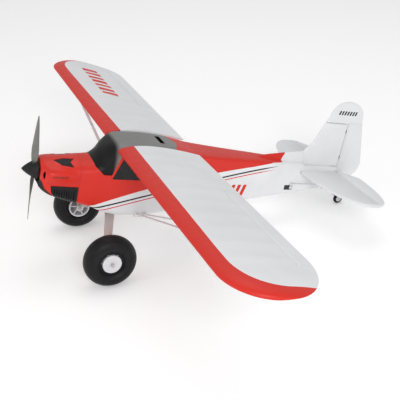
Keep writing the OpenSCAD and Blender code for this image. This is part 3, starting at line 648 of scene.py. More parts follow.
def brushed(name, colour, stretch, low=0.28, high=0.45):
    """Metal with a brushed grain along the long direction."""
    made = Finish(name, colour, 0.35, metallic=1.0)
    grain = made.noise(1.2, detail=5, stretch=stretch)
    made.vary(grain, 0.9, 1.06)
    made.emboss(grain, 0.012)
    made.rough(grain, low, high)
    return made.done()


def plywood():
    made = Finish("plywood", (0.52, 0.36, 0.19), 0.6, specular=0.3)
    grain = made.noise(5, detail=5, stretch=(1, 0.08, 1))
    made.vary(grain, 0.7, 1.15)
    made.emboss(grain, 0.08)
    return made.done()


def webbing():
    made = Finish("webbing", (0.02, 0.02, 0.021), 0.8, specular=0.25)
    weave = (made.x * (pi / 1.1)).math("SINE") * (made.z * (pi / 1.1) + made.y * (pi / 1.1)).math("SINE")
    made.emboss(weave, 0.15)
    made.vary(made.noise(3), 0.8, 1.3)
    return made.done()


def shrink_wrap(name, colour, band, band_at, band_half):
    """Heat-shrink sleeve with soft wrinkles and one plain band."""
    made = Finish(name, colour, 0.25, specular=0.5)
    made.vary(made.noise(20), 0.9, 1.08)
    made.paint(band, abs(made.x - band_at) < band_half)
    made.emboss(made.noise(14, detail=1, stretch=(1, 1, 3)), 0.5)
    return made.done()


def carbon():
    made = Finish("carbon", (0.02, 0.02, 0.021), 0.3)
    weave = (made.x * 2.2 + made.y * 2.2).math("SINE") * (made.y * 2.2 - made.z * 2.2).math("SINE")
    made.vary(weave * 0.5 + 0.5, 0.7, 1.4)
    made.emboss(weave, 0.05)
    return made.done()


BODY = body_livery()
WING = wing_livery()
WHITE_FOAM = white_foam()
FIN = fin_livery()
COWL = cowl_paint()
HATCH = hatch_film()
GLOSS = window_gloss()
TRIM = moulded("matte_black", (0.011, 0.011, 0.0115), (10, 0.8, 1.25), (0.5, 0.04), (6, 0.42, 0.58), 0.26)
PROP_GREY = plastic("prop_grey", (0.165, 0.165, 0.152), 0.26, 0.38)
WHITE_PLASTIC = plastic("white_plastic", (0.66, 0.665, 0.69), 0.3, 0.42, change=0.04)
STRUT_GREY = plastic("strut_grey", (0.78, 0.77, 0.77), 0.25, 0.4, change=0.03)
CASE = plastic("servo_case", (0.02, 0.02, 0.023), 0.3, 0.45)
TYRE = tyre_foam_skin()
ALLOY = brushed("gear_alloy", (0.74, 0.68, 0.65), (1.5, 0.06, 0.06), 0.42, 0.58)
STEEL = brushed("steel_wire", (0.56, 0.57, 0.59), (0.1, 1, 1), 0.2, 0.32)
MOTOR = plastic("motor_black", (0.03, 0.03, 0.033), 0.25, 0.35)
PLY = plywood()
WEB = webbing()
BATTERY = shrink_wrap("battery_wrap", (0.035, 0.10, 0.32), (0.6, 0.6, 0.58), -20, 9)
ESC = shrink_wrap("controller_wrap", (0.025, 0.025, 0.028), (0.3, 0.3, 0.3), 56, 1.5)
CARBON = carbon()


# ---- body
half_width = Curve((POST_X, 11), (-530, 15), (-480, 19), (-380, 29.5), (-280, 39.5), (-190, 47),
    (-130, 49), (0, 49), (30, 48.5), (70, 46), (120, 43.5), (140, 40.5), (147, 37), (NOSE_X, 33))
top_z = Curve((POST_X, -16), (-530, -12), (-480, -8.5), (-430, -5), (-352, 0), (-280, 4),
    (-190, 10.5), (-140, 20), (-125, 22.5), (-108, 24.5), (-73, 26.3), (-40, 25.8), (-10, 23.5),
    (0, 21.5), (10, 16.5), (20, 7.5), (29, -3.5), (42, -18.5), (70, -21.5), (120, -25),
    (147, -28.5), (NOSE_X, -31))
shoulder_z = Curve((POST_X, -22), (-280, -6), (-190, 2), (-140, 6), (-20, 8), (0, -20),
    (13, -44), (42, -44), (70, -47), (NOSE_X, -52))
crown_power = Curve((POST_X, 2.6), (-140, 5), (-20, 7), (0, 4.5), (13, 3.2), (29, 1.8), (42, 2),
    (NOSE_X, 2))
bottom_z = Curve((POST_X, -65), (-540, -72), (-489, -80), (-339, -100.5), (-135, -129),
    (-74, -139), (-26, -139), (-6, -137), (17, -131), (40, -121.5), (70, -115), (121, -102),
    (142, -93), (NOSE_X, -86))
corner_r = Curve((POST_X, 6), (-489, 9), (-300, 12), (-74, 14), (40, 13), (121, 15), (NOSE_X, 22))

CROWN_STEPS, SIDE_STEPS, CORNER_STEPS, BELLY_STEPS = 40, 9, 7, 6


def crown_point(angle, power):
    """Point of a unit superellipse in the direction of angle, evenly spaced round it."""
    c, s = cos(angle), sin(angle)
    r = (abs(c) ** power + abs(s) ** power) ** (-1 / power)
    return r * c, r * s


def body_ring(x, inset=0.0, bulge=None):
    """Section of the body: crown, sides, and a flat belly with round corners."""
    w, top = half_width(x) - inset, top_z(x) - inset
    shoulder = min(shoulder_z(x), top - 2)
    low, r = bottom_z(x) + inset, max(corner_r(x) - inset, 1)
    ring = []
    for i in range(CROWN_STEPS + 1):
        u, v = crown_point(pi * i / CROWN_STEPS, crown_power(x))
        ring.append((w * u, shoulder + (top - shoulder) * v))
    for i in range(1, SIDE_STEPS):
        ring.append((-w, shoulder + (low + r - shoulder) * i / SIDE_STEPS))
    for i in range(CORNER_STEPS + 1):
        a = pi + pi / 2 * i / CORNER_STEPS
        ring.append((-w + r + r * cos(a), low + r + r * sin(a)))
    for i in range(1, BELLY_STEPS):
        ring.append((-w + r + 2 * (w - r) * i / BELLY_STEPS, low))
    for i in range(CORNER_STEPS + 1):
        a = 1.5 * pi + pi / 2 * i / CORNER_STEPS
        ring.append((w - r + r * cos(a), low + r + r * sin(a)))
    for i in range(1, SIDE_STEPS):
        ring.append((w, low + r + (shoulder - low - r) * i / SIDE_STEPS))
    points = [(x, y, z) for y, z in ring]
    return [bulge(p) for p in points] if bulge else points


def body_loft(inset=0.0, start=POST_X, end=NOSE_X, step=7.0, bulge=None):
    count = max(int((end - start) / step), 2)
    return loft([body_ring(start + (end - start) * i / count, inset, bulge) for i in range(count + 1)])


def both(make):
    """Tools for the left and the right side."""
    return [make(1), make(-1)]


HATCH_OUTLINE = [(45, -18), (40, -28), (21, -44.5), (4, -44.5), (-14, 8), (-152, 8), (-152, 40), (45, 40)]
WINDOWS = [
    [(2.5, -53), (-17, -5), (-70, -5), (-70, -53)],
    [(-77, -53), (-77, -5), (-142, -5), (-118, -53)],
]


def hatch_space(gap=0.0):
    ends = [(60, -60), (60, 60), (-126 - gap, 60), (-150 - gap, 0), (-126 - gap, -60)]
    return common(across(HATCH_OUTLINE), prism(ends, "z", -200, 200))


def fuselage():
    skin = body_loft(0, POST_X, FIREWALL_X, 5)
    smooth = Skin(skin)
    body = join(skin, strake())
    wall = CABIN_HALF - FOAM_WALL
    slab = STAB_Z - STAB_T / 2
    bay = common(body_loft(FOAM_WALL, -170, 62), box((-300, -100, -200), (100, 100, 60)))
    roof_opening = box((-120, -wall, -20), (-8, wall, 40))
    motor_opening = box((61.9, -34, -100), (82, 34, -34))
    tail_cone = body_loft(FOAM_WALL, -430, -162, 12)
    stab_slot = box((-640, -40, slab), (-473, 40, slab + STAB_T))
    fin_slot = across([(-640, -14), (-478, -14), (-478, 30), (-640, 30)], 40)
    horn_slot = box((-600, -30, -50.7), (-570, 30, -43.7))
    joiner_bore = cross_rod(ELEVATOR_X, STAB_Z, -40, 40, 2.6)
    spar_bore = cross_rod(SPAR_X, SPAR_Z, -60, 60, 5)
    cut(body, bay, roof_opening, motor_opening, tail_cone, hatch_space())
    cut(body, stab_slot, fin_slot, joiner_bore, horn_slot, spar_bore)
    cut(body, *both(servo_pocket))
    cut(body, *(common(across(pane), window_band()) for pane in WINDOWS))
    for side, name in ((1, "fuselage_left"), (-1, "fuselage_right")):
        half = copy_of(body)
        low, high = (0.04, 100) if side > 0 else (-100, -0.04)
        common(half, box((-700, low, -200), (200, high, 100)))
        shade(half, smooth)
        finish(half, name, "airframe", BODY)
    discard(body)


ridge_top = Curve((-478, 19), (-430, 12.3), (-385, 5.5), (-345, -2))
ridge_half = Curve((-478, 3.5), (-430, 3.5), (-385, 4), (-345, 5))
ridge_foot = Curve((-478, 8), (-430, 15), (-385, 19), (-345, 20))


def strake():
    """Ridge that climbs the rear deck into the fin, with a rounded top and hollow flanks."""
    rows = []
    for x in np.linspace(-478, -345, 36):
        top, half, foot = ridge_top(x), ridge_half(x), ridge_foot(x)
        arc = [(half * cos(a), top - 2 + 2 * sin(a)) for a in np.linspace(0, pi, 11)]
        flank = []
        for u in np.linspace(0.12, 1, 8):
            flank.append((half + (foot - half) * (u**1.6 * 0.75 + 0.25 * u), top - 2 - (top + 14) * u))
        section = arc + [(-y, z) for y, z in flank] + list(reversed(flank))
        rows.append([(x, y, z) for y, z in section])
    return loft(rows)


def servo_pocket(side):
    low, high = (2, 30) if side > 0 else (-30, -2)
    return box((TAIL_SERVO_X - 6, low, TAIL_SERVO_Z - 6.2), (TAIL_SERVO_X + 17.4, high, TAIL_SERVO_Z + 6.2))


def window_band():
    """Thin layer just under the cabin's skin."""
    return cut(body_loft(-6, -160, 20, 5), body_loft(1.2, -161, 21, 5))


def inlay(name, material, outer, inner, tools, hollow=()):
    """Pieces of the layer between two body lofts, one for each tool, as one part."""
    layer = cut(body_loft(*outer), body_loft(*inner))
    merged = join(*[common(copy_of(layer), tool) for tool in tools])
    cut(merged, *hollow)
    shade(merged, Skin(body_loft(*outer), spent=True))
    finish(merged, name, "airframe", material)
    discard(layer)


def rounded_pane(outline):
    """Window outline, 0.4 mm clear of its frame all round, with small round corners."""
    centre = Vector((sum(p[0] for p in outline) / 4, sum(p[1] for p in outline) / 4))
    points = []
    for i, p in enumerate(outline):
        here = Vector(p)
        to_last = (Vector(outline[i - 1]) - here).normalized()
        to_next = (Vector(outline[(i + 1) % 4]) - here).normalized()
        inward = (centre - here).normalized() * 0.5
        for t in np.linspace(0, 1, 6):
            bend = to_last * (1 - t) ** 2 * 3 + to_next * t**2 * 3
            points.append(tuple(here + inward + bend))
    return across(points)


def hatch():
    outer = body_loft(0, -160, 60, 3)
    smooth = Skin(outer)
    lid = common(outer, hatch_space(-0.4))
    hollow = common(body_loft(5, -104, 38, 4), box((-160, -100, -60), (30, 100, 60)))
    cut(lid, hollow, finger_slot())
    cut(lid, cross_rod(SPAR_X, SPAR_Z, -60, 60, 6.5))
    cut(lid, box((SPAR_X - 6.5, -60, -10), (SPAR_X + 6.5, 60, SPAR_Z)))
    cut(lid, across([(-17, -60), (30, -60), (30, -43), (4, -43)]))
    shade(lid, smooth)
    finish(lid, "hatch", "hatch", HATCH)


def finger_slot(round_r=1.2):
    """Finger hole in front of the latch, with round corners."""
    dx, dy = FINGER_HALF_X - round_r, FINGER_HALF_Y - round_r
    outline = [
        (FINGER_X + x + (dx if x > 0 else -dx), y + (dy if y > 0 else -dy)) for x, y in circle(round_r, 16)
    ]
    return prism(outline, "z", 5, 35)


# ---- nose
VENT = [(126, 17), (104, 10.5), (80, 13), (90, 25), (84, 38), (109, 33)]
FINS = [(71.8, -75.3), (129.7, -75.3), (126.2, -91), (117.7, -103.5), (111.7, -125), (71.8, -125)]
FINS_BOX = [(71.5, -75), (130, -75), (126.5, -91), (118, -103.5), (112, -125), (71.5, -125)]
CHIN = [(156, -64), (149, -67), (141, -84), (121, -101.5), (119, -104), (119, -130), (156, -130)]
COWL_WALL = 3
RIB_PITCH = 5.2


def cheek(point):
    """Push the cowl's skin out into the rounded cheek in front of each cylinder bank."""
    x, y, z = point
    if abs(y) < 15 or x < 71:
        return point
    tall = 10 + 7 * fade(x, 78, 126)
    deep = (2.2 + 5.2 * fade(x, 76, 128)) * fade(x, 71, 84)
    if x > 128:
        deep *= sqrt(max(1 - ((x - 128) / 15.5) ** 2, 0))
    near = max(1 - ((z + 52) / tall) ** 2, 0)
    out = deep * near**0.75 * fade(abs(y), 20, 34)
    return (x, y + copysign(out, y), z)


def rib(point):
    """Cooling ribs that stand out of the dummy cylinder block below a plain band."""
    x, y, z = point
    wave = 0.5 + 0.5 * cos(tau * (x - 97) / RIB_PITCH)
    depth = 2.6 * (1 - wave**0.6) * fade(-z, 79, 85) * fade(x, 73, 76)
    scale = max(abs(y), 1)
    inward = depth * min(scale / 43, 1)
    low = bottom_z(x)
    lift = depth * fade(low + 16 - z, 0, 14)
    return (x, y - copysign(inward, y), z + lift)


def cowl():
    outer = body_loft(0, FIREWALL_X + 0.3, NOSE_X, 1.6, cheek)
    smooth = Skin(outer)
    shell = cut(outer, body_loft(COWL_WALL, FIREWALL_X - 1, NOSE_X - COWL_WALL, 4))
    cut(shell, shaft(130, 170, 25, 96))
    cut(shell, *vent_tools(0), *both(intake))
    cut(shell, across(FINS_BOX), across(CHIN))
    shade(shell, smooth)
    finish(shell, "cowl", "airframe", COWL)


def intake(side):
    """Upright slot in the front of each cheek."""
    outline = [(side * 38 + 3.4 * u, -53.5 + 9 * v) for u, v in circle(1, 28)]
    return prism(outline, "x", 136.5, 160)


def vent_tools(shrink):
    tools = []
    for side in (1, -1):
        centre = Vector((100, 24 * side))
        points = [Vector((x, y * side)) for x, y in VENT]
        points = [p + (centre - p).normalized() * shrink for p in points]
        tools.append(prism([tuple(p) for p in points], "z", -50, 10))
    return tools


def cooling_fins():
    outer = body_loft(-1.5, FIREWALL_X + 1, 132, 0.55, rib)
    smooth = Skin(outer)
    ribs = common(outer, across(FINS))
    cut(ribs, body_loft(4.2, 60, 140, 5), box((60, -22, -200), (140, 22, 0)))
    shade(ribs, smooth)
    finish(ribs, "cooling_fins", "airframe", TRIM)


def chin_scoop():
    outer = body_loft(-1.1, 110, NOSE_X, 1.6)
    smooth = Skin(outer)
    lowered = [(x, z - 0.3) for x, z in CHIN]
    scoop = common(outer, across(lowered, 50))
    cut(scoop, body_loft(COWL_WALL, 100, NOSE_X - 4, 4))
    cut(scoop, shaft(130, 170, 25.6, 96))
    mouth = [(y * 17.5, -85.5 + z * 4.4) for y, z in (crown_point(tau * i / 40, 5) for i in range(40))]
    cut(scoop, prism(mouth, "x", 120, 170))
    bars = [rod((143.5, y, -90.5), (143.5, y, -80.5), 0.8, 12) for y in (-9, 0, 9)]
    join(scoop, *bars)
    shade(scoop, smooth)
    finish(scoop, "chin_scoop", "airframe", TRIM)


fuselage()
inlay("side_windows", GLOSS, (-0.25, -160, 20, 5), (1.2, -161, 21, 5), map(rounded_pane, WINDOWS),
    [box((-300, -30, -200), (100, 30, 100))])
hatch()
cowl()
inlay("cowl_vents", TRIM, (0.9, 75, 130, 3), (COWL_WALL, 74, 131, 3), vent_tools(0.1))
cooling_fins()
chin_scoop()


# ---- wing
TIP_LE_X, TIP_LE_Y = 0.435 * CHORD, 85
TIP_TE_X, TIP_TE_Y = CHORD - TIP_LE_X - 6, 121
RIB_SPACING, RIB_SAG = 55.0, 1.3
WING_FRAME = (
    Matrix.Translation((0, CABIN_HALF, WING_Z))
    @ Matrix.Rotation(DIHEDRAL, 4, "X")
    @ Matrix.Translation((0, -CABIN_HALF, 0))
)


def half_thick(t):
    return 5 * THICKNESS * (0.2969 * sqrt(t) - 0.126 * t - 0.3516 * t**2 + 0.2843 * t**3 - 0.1015 * t**4)


def camber_z(t):
    if t < CAMBER_AT:
        return CAMBER / CAMBER_AT**2 * (2 * CAMBER_AT * t - t * t)
    return CAMBER / (1 - CAMBER_AT) ** 2 * (1 - 2 * CAMBER_AT + 2 * CAMBER_AT * t - t * t)


def edge_cut(y, start, length, depth):
    u = min(max(y - start, 0) / length, 1)
    return depth * (1 - sqrt(1 - u * u))


def wing_edges(y):
    lead = -edge_cut(y, HALF_SPAN - TIP_LE_Y, TIP_LE_Y, TIP_LE_X)
    trail = -CHORD + edge_cut(y, HALF_SPAN - TIP_TE_Y, TIP_TE_Y, TIP_TE_X)
    return lead, trail


def sag(t, y):
    """How far the skin sinks between the ribs it imitates."""
    share = ((y - CABIN_HALF) / RIB_SPACING) % 1
    across = sin(pi * share) ** 0.8
    along = fade(t, 0.13, 0.3) * (1 - fade(t, 0.93, 1.0))
    return RIB_SAG * across * along * (1 - fade(y, 560, 610))


def skin_point(t, y, side):
    """Point of the wing's upper (side 1) or lower (side -1) skin at share t of the chord."""
    lead, trail = wing_edges(y)
    c = lead - trail
    tall = CHORD * (c / CHORD) ** 0.8
    sunk = sag(t, y) * (1 if side > 0 else 0.5)
    return (lead - c * t, y, tall * (camber_z(t) + side * half_thick(t)) + side * (0.5 * t - sunk))


def wing_ring(y, steps=34):
    shares = [(1 - cos(pi * i / steps)) / 2 for i in range(steps + 1)]
    upper = [skin_point(t, y, 1) for t in shares]
    lower = [skin_point(t, y, -1) for t in reversed(shares[1:])]
    return upper + lower


def wing_stations():
    inner = np.linspace(CABIN_HALF + 0.3, HALF_SPAN - TIP_TE_Y, 70)
    return list(inner) + [HALF_SPAN - TIP_TE_Y * (1 - sin(pi / 2 * i / 34.4)) for i in range(1, 35)]


HINGE_Z = CHORD * camber_z(HINGE_SHARE)
NOTCH_HALF = Vector((2, 4.3, 1.6))
NOTCHES = (AILERON_IN + 24, (AILERON_IN + AILERON_OUT) / 2 + 12, AILERON_OUT - 26)


def mirrored_pair(make, name, bodies, material):
    """Left piece and its mirror image. make() gives the piece and its smooth skin."""
    piece, smooth = make()
    for matrix, side, body in zip((Matrix(), MIRROR), ("_left", "_right"), bodies):
        twin, skin = copy_of(piece, matrix), copy_of(smooth, matrix)
        shade(twin, Skin(skin))
        finish(twin, name + side, body, material)
        discard(skin)
    discard(piece, smooth)


def wing():
    skin = loft([wing_ring(y) for y in wing_stations()])
    piece = copy_of(skin)
    cut(piece, box((-CHORD - 10, AILERON_IN, -30), (HINGE_X + 1, AILERON_OUT, 30)))
    x = HINGE_X
    cut(piece, box((x + 46, SERVO_Y - 14, -30), (x + 69.4, SERVO_Y - 1.5, 5.2 + HINGE_Z)))
    cut(piece, box((x + 38.5, SERVO_Y - 1.7, -30), (x + 65.5, SERVO_Y + 3.3, 5.2 + HINGE_Z)))
    for obj in (piece, skin):
        obj.data.transform(WING_FRAME)
    bore = cross_rod(SPAR_X, SPAR_Z, CABIN_HALF - 1, CABIN_HALF + 247, 5.1)
    return cut(piece, bore), skin


def aileron():
    bevel_share = HINGE_SHARE + (CHORD * half_thick(HINGE_SHARE) * sin(BEVEL) / cos(BEVEL)) / CHORD
    shares = [bevel_share, 0.86, 0.885, 0.91, 0.935, 0.96, 0.98, 1]

    def side_point(t, y, side):
        trail = wing_edges(y)[1]
        squeeze = (HINGE_X - trail) / (HINGE_X + CHORD)
        z = CHORD * (camber_z(t) + side * half_thick(t)) + side * (0.5 * t - 0.4 * sag(t, y))
        return (HINGE_X + (HINGE_SHARE - t) * CHORD * squeeze, y, z)

    rings = []
    for y in np.linspace(AILERON_IN + 0.8, AILERON_OUT - 0.8, 80):
        upper = [side_point(t, y, 1) for t in shares]
        lower = [side_point(t, y, -1) for t in reversed(shares)]
        nose = [(HINGE_X, y, HINGE_Z - 0.3), (HINGE_X, y, HINGE_Z + 0.3)]
        rings.append(nose + upper + lower)
    skin = loft(rings)
    piece = copy_of(skin)
    for y in NOTCHES:
        cut(piece, block((HINGE_X, y, HINGE_Z), NOTCH_HALF))
    for obj in (piece, skin):
        obj.data.transform(WING_FRAME)
        obj.data.shade_smooth()
    return piece, skin


mirrored_pair(wing, "wing", ("airframe", "airframe"), WING)
mirrored_pair(aileron, "aileron", ("left_aileron", "right_aileron"), WING)


# ---- tail
TAIL_MID, LEAD_A, TRAIL_A = -557, 84, 72


def flat_section(front, back, half, nose, tail):
    """(x, half thickness) from front to back of a flat foam surface.

    nose and tail are "round", "flat", "bevel" or "taper".
    """
    chord = front - back
    points = []
    if nose == "round":
        r = min(7, chord * 0.45)
        points += [(front - r * (1 - cos(a)), half * sin(a)) for a in np.linspace(0.12, pi / 2, 7)]
    elif nose == "bevel":
        run = min(half * sin(BEVEL) / cos(BEVEL), chord * 0.3)
        points += [(front, 0.3), (front - run, half)]
    else:
        points += [(front, half - 0.5), (front - 0.5, half)]
    if tail == "taper":
        run = min(26, chord * 0.6)
        points += [(back + run * (1 - u), half + (1.1 - half) * u**1.4) for u in np.linspace(0, 1, 8)]
        points[-1] = (back + min(0.8, chord * 0.1), min(1.1, half))
        points.append((back, min(0.4, half)))
    else:
        points += [(back + 0.5, half), (back, half - 0.5)]
    return points


def flat_ring(section, place):
    return [place(x, h) for x, h in section] + [place(x, -h) for x, h in reversed(section)]


def tip_round(at, tip, radius, half):
    u = min(max((at - (tip - radius)) / radius, 0), 1)
    return max(half * sqrt(1 - u * u), 0.35)


def superellipse(y, b, power):
    return max(1 - (abs(y) / b) ** power, 0) ** (1 / power)


def stabilizer():
    back = ELEVATOR_X + 2.5
    half_stations = [STAB_HALF * sin(pi / 2 * i / 40) for i in range(40)] + [STAB_HALF - 0.4]
    stations = [-y for y in reversed(half_stations[1:])] + half_stations
    rings = []
    for y in stations:
        front = TAIL_MID + LEAD_A * superellipse(y, STAB_HALF, 2.15)
        half = tip_round(abs(y), STAB_HALF, 4, STAB_T / 2)
        section = flat_section(front, back, half, "round", "flat")
        rings.append(flat_ring(section, lambda x, h, y=y: (x, y, STAB_Z + h)))
    skin = loft(rings)
    piece = copy_of(skin)
    cut(piece, cross_rod(ELEVATOR_X, STAB_Z, -70, 70, 2.3))
    shade(piece, Skin(skin))
    finish(piece, "stabilizer", "airframe", WHITE_FOAM)
    discard(skin)


def elevator():
    rings = []
    tip = 205.0
    for y in [13 + (tip - 13) * sin(pi / 2 * i / 60) for i in range(61)]:
        outer = TAIL_MID - TRAIL_A * superellipse(y, STAB_HALF, 3)
        inner = np.interp(y, [9, 29, 45], [ELEVATOR_X, -616, -629])
        back = max(outer, float(inner))
        half = tip_round(y, tip + 0.4, 3.5, STAB_T / 2)
        section = flat_section(ELEVATOR_X, back, half, "bevel", "taper")
        rings.append(flat_ring(section, lambda x, h, y=y: (x, y, STAB_Z + h)))
    skin = loft(rings)
    piece = copy_of(skin)
    cut(piece, cross_rod(ELEVATOR_X, STAB_Z, 0, 52, 2.05))
    for y in (58, 150):
        cut(piece, block((ELEVATOR_X, y, STAB_Z), NOTCH_HALF))
    return piece, skin


def fin_front(z):
    """Leading edge, with a fillet where it rises from the ridge of the rear deck."""
    edge = -478 - 0.413 * (z + 8)
    return edge + (-478.6 - edge) * (1 - fade(z, 14, 42))


def fin():
    rings = []
    for z in np.linspace(-14, BALANCE_Z - 2, 36):
        section = flat_section(fin_front(z), POST_X, FIN_T / 2, "round", "flat")
        rings.append(flat_ring(section, lambda x, h, z=z: (x, h, z)))
    skin = loft(rings)
    shade(skin, sharp=40)
    finish(skin, "fin", "airframe", WHITE_FOAM)


def rudder_back(z):
    if z < -2:
        return -612 - 38 * sqrt(max(1 - ((z + 2) / 44) ** 2, 0))
    if z < 110:
        return -650 + 29 * (z + 2) / 112
    return -575 - 46 * sqrt(max(1 - ((z - 110) / 38.5) ** 2, 0))


def rudder_front(z):
    if z < 110:
        return fin_front(z) - (z - BALANCE_Z) * 0.15
    return -575 + 46 * sqrt(max(1 - ((z - 110) / 38.5) ** 2, 0))


def rudder():
    def ring(z, front, nose, half):
        section = flat_section(front, rudder_back(z), half, nose, "taper")
        return flat_ring(section, lambda x, h: (x, h, z))

    lower = [ring(z, RUDDER_X, "bevel", FIN_T / 2) for z in np.linspace(RUDDER_LOW, BALANCE_Z + 3, 60)]
    tip = 148.5
    heights = [BALANCE_Z + (tip - 0.25 - BALANCE_Z) * sin(pi / 2 * i / 34) for i in range(35)]
    upper = [ring(z, rudder_front(z), "round", tip_round(z, tip, 4, FIN_T / 2)) for z in heights]
    low_skin, high_skin = loft(lower), loft(upper)
    piece = join(copy_of(low_skin), copy_of(high_skin))
    for z in (8, 74):
        cut(piece, block((RUDDER_X, 0, z), (NOTCH_HALF.x, NOTCH_HALF.z, NOTCH_HALF.y)))
    shade(piece, Skin(high_skin), Skin(low_skin))
    finish(piece, "rudder", "rudder", FIN)
    discard(low_skin, high_skin)


stabilizer()
mirrored_pair(elevator, "elevator", ("elevator", "elevator"), WHITE_FOAM)
fin()
rudder()


# ---- wheels and landing gear
HUB_RECESS = 3.2


def tyre_profile():
    half = TYRE_W / 2
    round_part = [
        (TYRE_R - 18 + 18 * cos(a) * (1 if cos(a) > 0 else 0.92), half * sin(a))
        for a in np.linspace(radians(-136), radians(141), 64)
    ]
    inner = [(24.5, -half + 6.8), (25.0, -half + 6.2)]
    lip = [(21.6, 8.4), (20.7, 7.9), (20.5, 8.6), (20.8, 9.2), (24.5, 9.2)]
    return inner + round_part + [(r, half - depth) for r, depth in lip]


def hub_profile():
    half = TYRE_W / 2
    face = half - HUB_RECESS
    return [
        (2.06, -half + 1), (4.9, -half + 1), (5.5, -half + 1.6), (5.5, face - 6),
        (21.5, face - 6), (21.5, -half + 2), (22.1, -half + 1.4), (24.5, -half + 1.4),
        (24.5, half - 9.4), (20.3, half - 9.4), (20.2, face - 0.5), (19.7, face), (17.2, face),
        (16.9, face - 0.4), (16.3, face - 0.4), (16.0, face), (7.2, face), (6.8, face - 0.5),
        (3.6, face - 0.5), (3.2, face - 1.2), (2.06, face - 1.2),
    ]


def wheel(side, name):
    centre, axis = (AXLE_X, side * TRACK_HALF, AXLE_Z), (0, side, 0)
    tyre = turned(tyre_profile(), centre, axis, 128)
    shade(tyre, sharp=50)
    finish(tyre, "tyre_" + name, name + "_wheel", TYRE)
    hub = turned(hub_profile(), centre, axis, 96)
    half = TYRE_W / 2
    for k in range(6):
        turn = Matrix.Translation(centre) @ Matrix.Rotation(tau * k / 6, 4, "Y")
        low, high = sorted((side * (-half + 4), side * (half - HUB_RECESS - 5)))
        spoke = box((4, low, -1.1), (22, high, 1.1))
        spoke.data.transform(turn)
        join(hub, spoke)
    shade(hub, sharp=32)
    finish(hub, "hub_" + name, name + "_wheel", WHITE_PLASTIC)


def tail_wheel():
    half, centre = 4.5, (TAIL_X, 0, TAIL_Z)
    angles = np.linspace(radians(-80), radians(80), 25)
    crown = [(TAIL_R - half + half * cos(a), half * sin(a)) for a in angles]
    rim = [(7, -half + 0.4), (7.6, -half)]
    tyre = turned(rim + crown + [(7.6, half), (7, half - 0.4)], centre, (0, -1, 0), 72)
    shade(tyre, sharp=50)
    finish(tyre, "tail_wheel", "tail_wheel", TYRE)
    face = [(1.26, half), (2.6, half), (3, half - 0.8), (5.4, half - 0.8), (6, half - 0.2), (7, half - 0.4)]
    hub = turned([(r, -d) for r, d in face] + face[::-1], centre, (0, -1, 0), 48)
    shade(hub, sharp=35)
    finish(hub, "tail_wheel_hub", "tail_wheel", WHITE_PLASTIC, in_cad=False)


def softened(node, body, material, width=0.4, angle=35):
    """The CAD node's shape with its sharp edges rounded as on the moulded or bent part."""
    source = frame["nodes"][node]
    piece = source.copy()
    piece.data = source.data.copy()
    for key in list(piece.keys()):
        del piece[key]
    scene.collection.objects.link(piece)
    with edited(piece.data) as bm:
        bmesh.ops.remove_doubles(bm, verts=bm.verts, dist=1e-6)
        bmesh.ops.dissolve_limit(bm, angle_limit=radians(1), verts=bm.verts, edges=bm.edges)
        sharp = [e for e in bm.edges if len(e.link_faces) == 2 and e.calc_face_angle(0) > radians(angle)]
        bmesh.ops.bevel(bm, geom=sharp, offset=width / 1000, segments=2, profile=0.6,
            clamp_overlap=True, affect="EDGES")
    shade(piece, sharp=40, was_cut=False)
    finish(piece, node, body, material, matrix=TO_ROW.inverted())


def struts():
    root = Vector((-75, 42, -135))
    tops = (Vector((-25, 392, 0)), Vector((-110, 388, 0)))
    whole = None
    for side in (1, -1):
        for k, top in enumerate(tops):
            p = root + Vector((7 if k == 0 else -7, 6.4, 2.2))
            q = top - Vector((0, 4.4, 2.2))
            bar = streamline(p, q)
            if side < 0:
                bar.data.transform(MIRROR)
                bar.data.flip_normals()
            whole = bar if whole is None else join(whole, bar)
    shade(whole, sharp=45)
    finish(whole, "wing_struts", "airframe", STRUT_GREY)


def streamline(p, q):
    """Bar from p to q with a streamline section, pinched to a flat tab at each end."""
    d = q - p
    heading = Matrix.Rotation(np.arctan2(d.y, d.x), 4, "Z")
    turn = Matrix.Translation(p) @ heading @ Matrix.Rotation(np.arccos(d.z / d.length), 4, "Y")
    tab = [0, 4, 8, 14]
    rings = []
    for s in [*tab, *np.linspace(22, d.length - 22, 12), *(d.length - t for t in reversed(tab))]:
        end = min(s, d.length - s)
        thick = 1.7 * (0.62 + 0.38 * fade(end, 6, 20))
        chord = 4 * (0.8 + 0.2 * fade(end, 4, 18))
        rings.append([turn @ Vector((thick * u, chord * v, s)) for u, v in circle(1, 28)])
    return loft(rings)


wheel(1, "left")
wheel(-1, "right")
tail_wheel()
struts()


# ---- propeller and spinner
blade_chord = Curve((6, 9), (20, 15.5), (46, 25), (80, 20), (108, 8.5), (114.5, 3))
BLADE_PITCH = 127
PROP_X = NOSE_X + 9.5
PROP_TURN = radians(3)


def blade_ring(r, steps=26):
    """Section of a blade: flat underside, cambered back, twisted to its pitch."""
    c = blade_chord(r)
    thick = 0.8 + c * 0.09
    turn = atan(BLADE_PITCH / (tau * max(r, 22)))
    ring = []
    for i in range(steps):
        a = tau * i / steps
        u = c / 2 * cos(a)
        v = thick / 2 * (sin(a) if sin(a) > 0 else 0.75 * sin(a)) + c * 0.04 * sin(a) ** 2
        ring.append((v * cos(turn) - u * sin(turn), v * sin(turn) + u * cos(turn), r))
    return ring


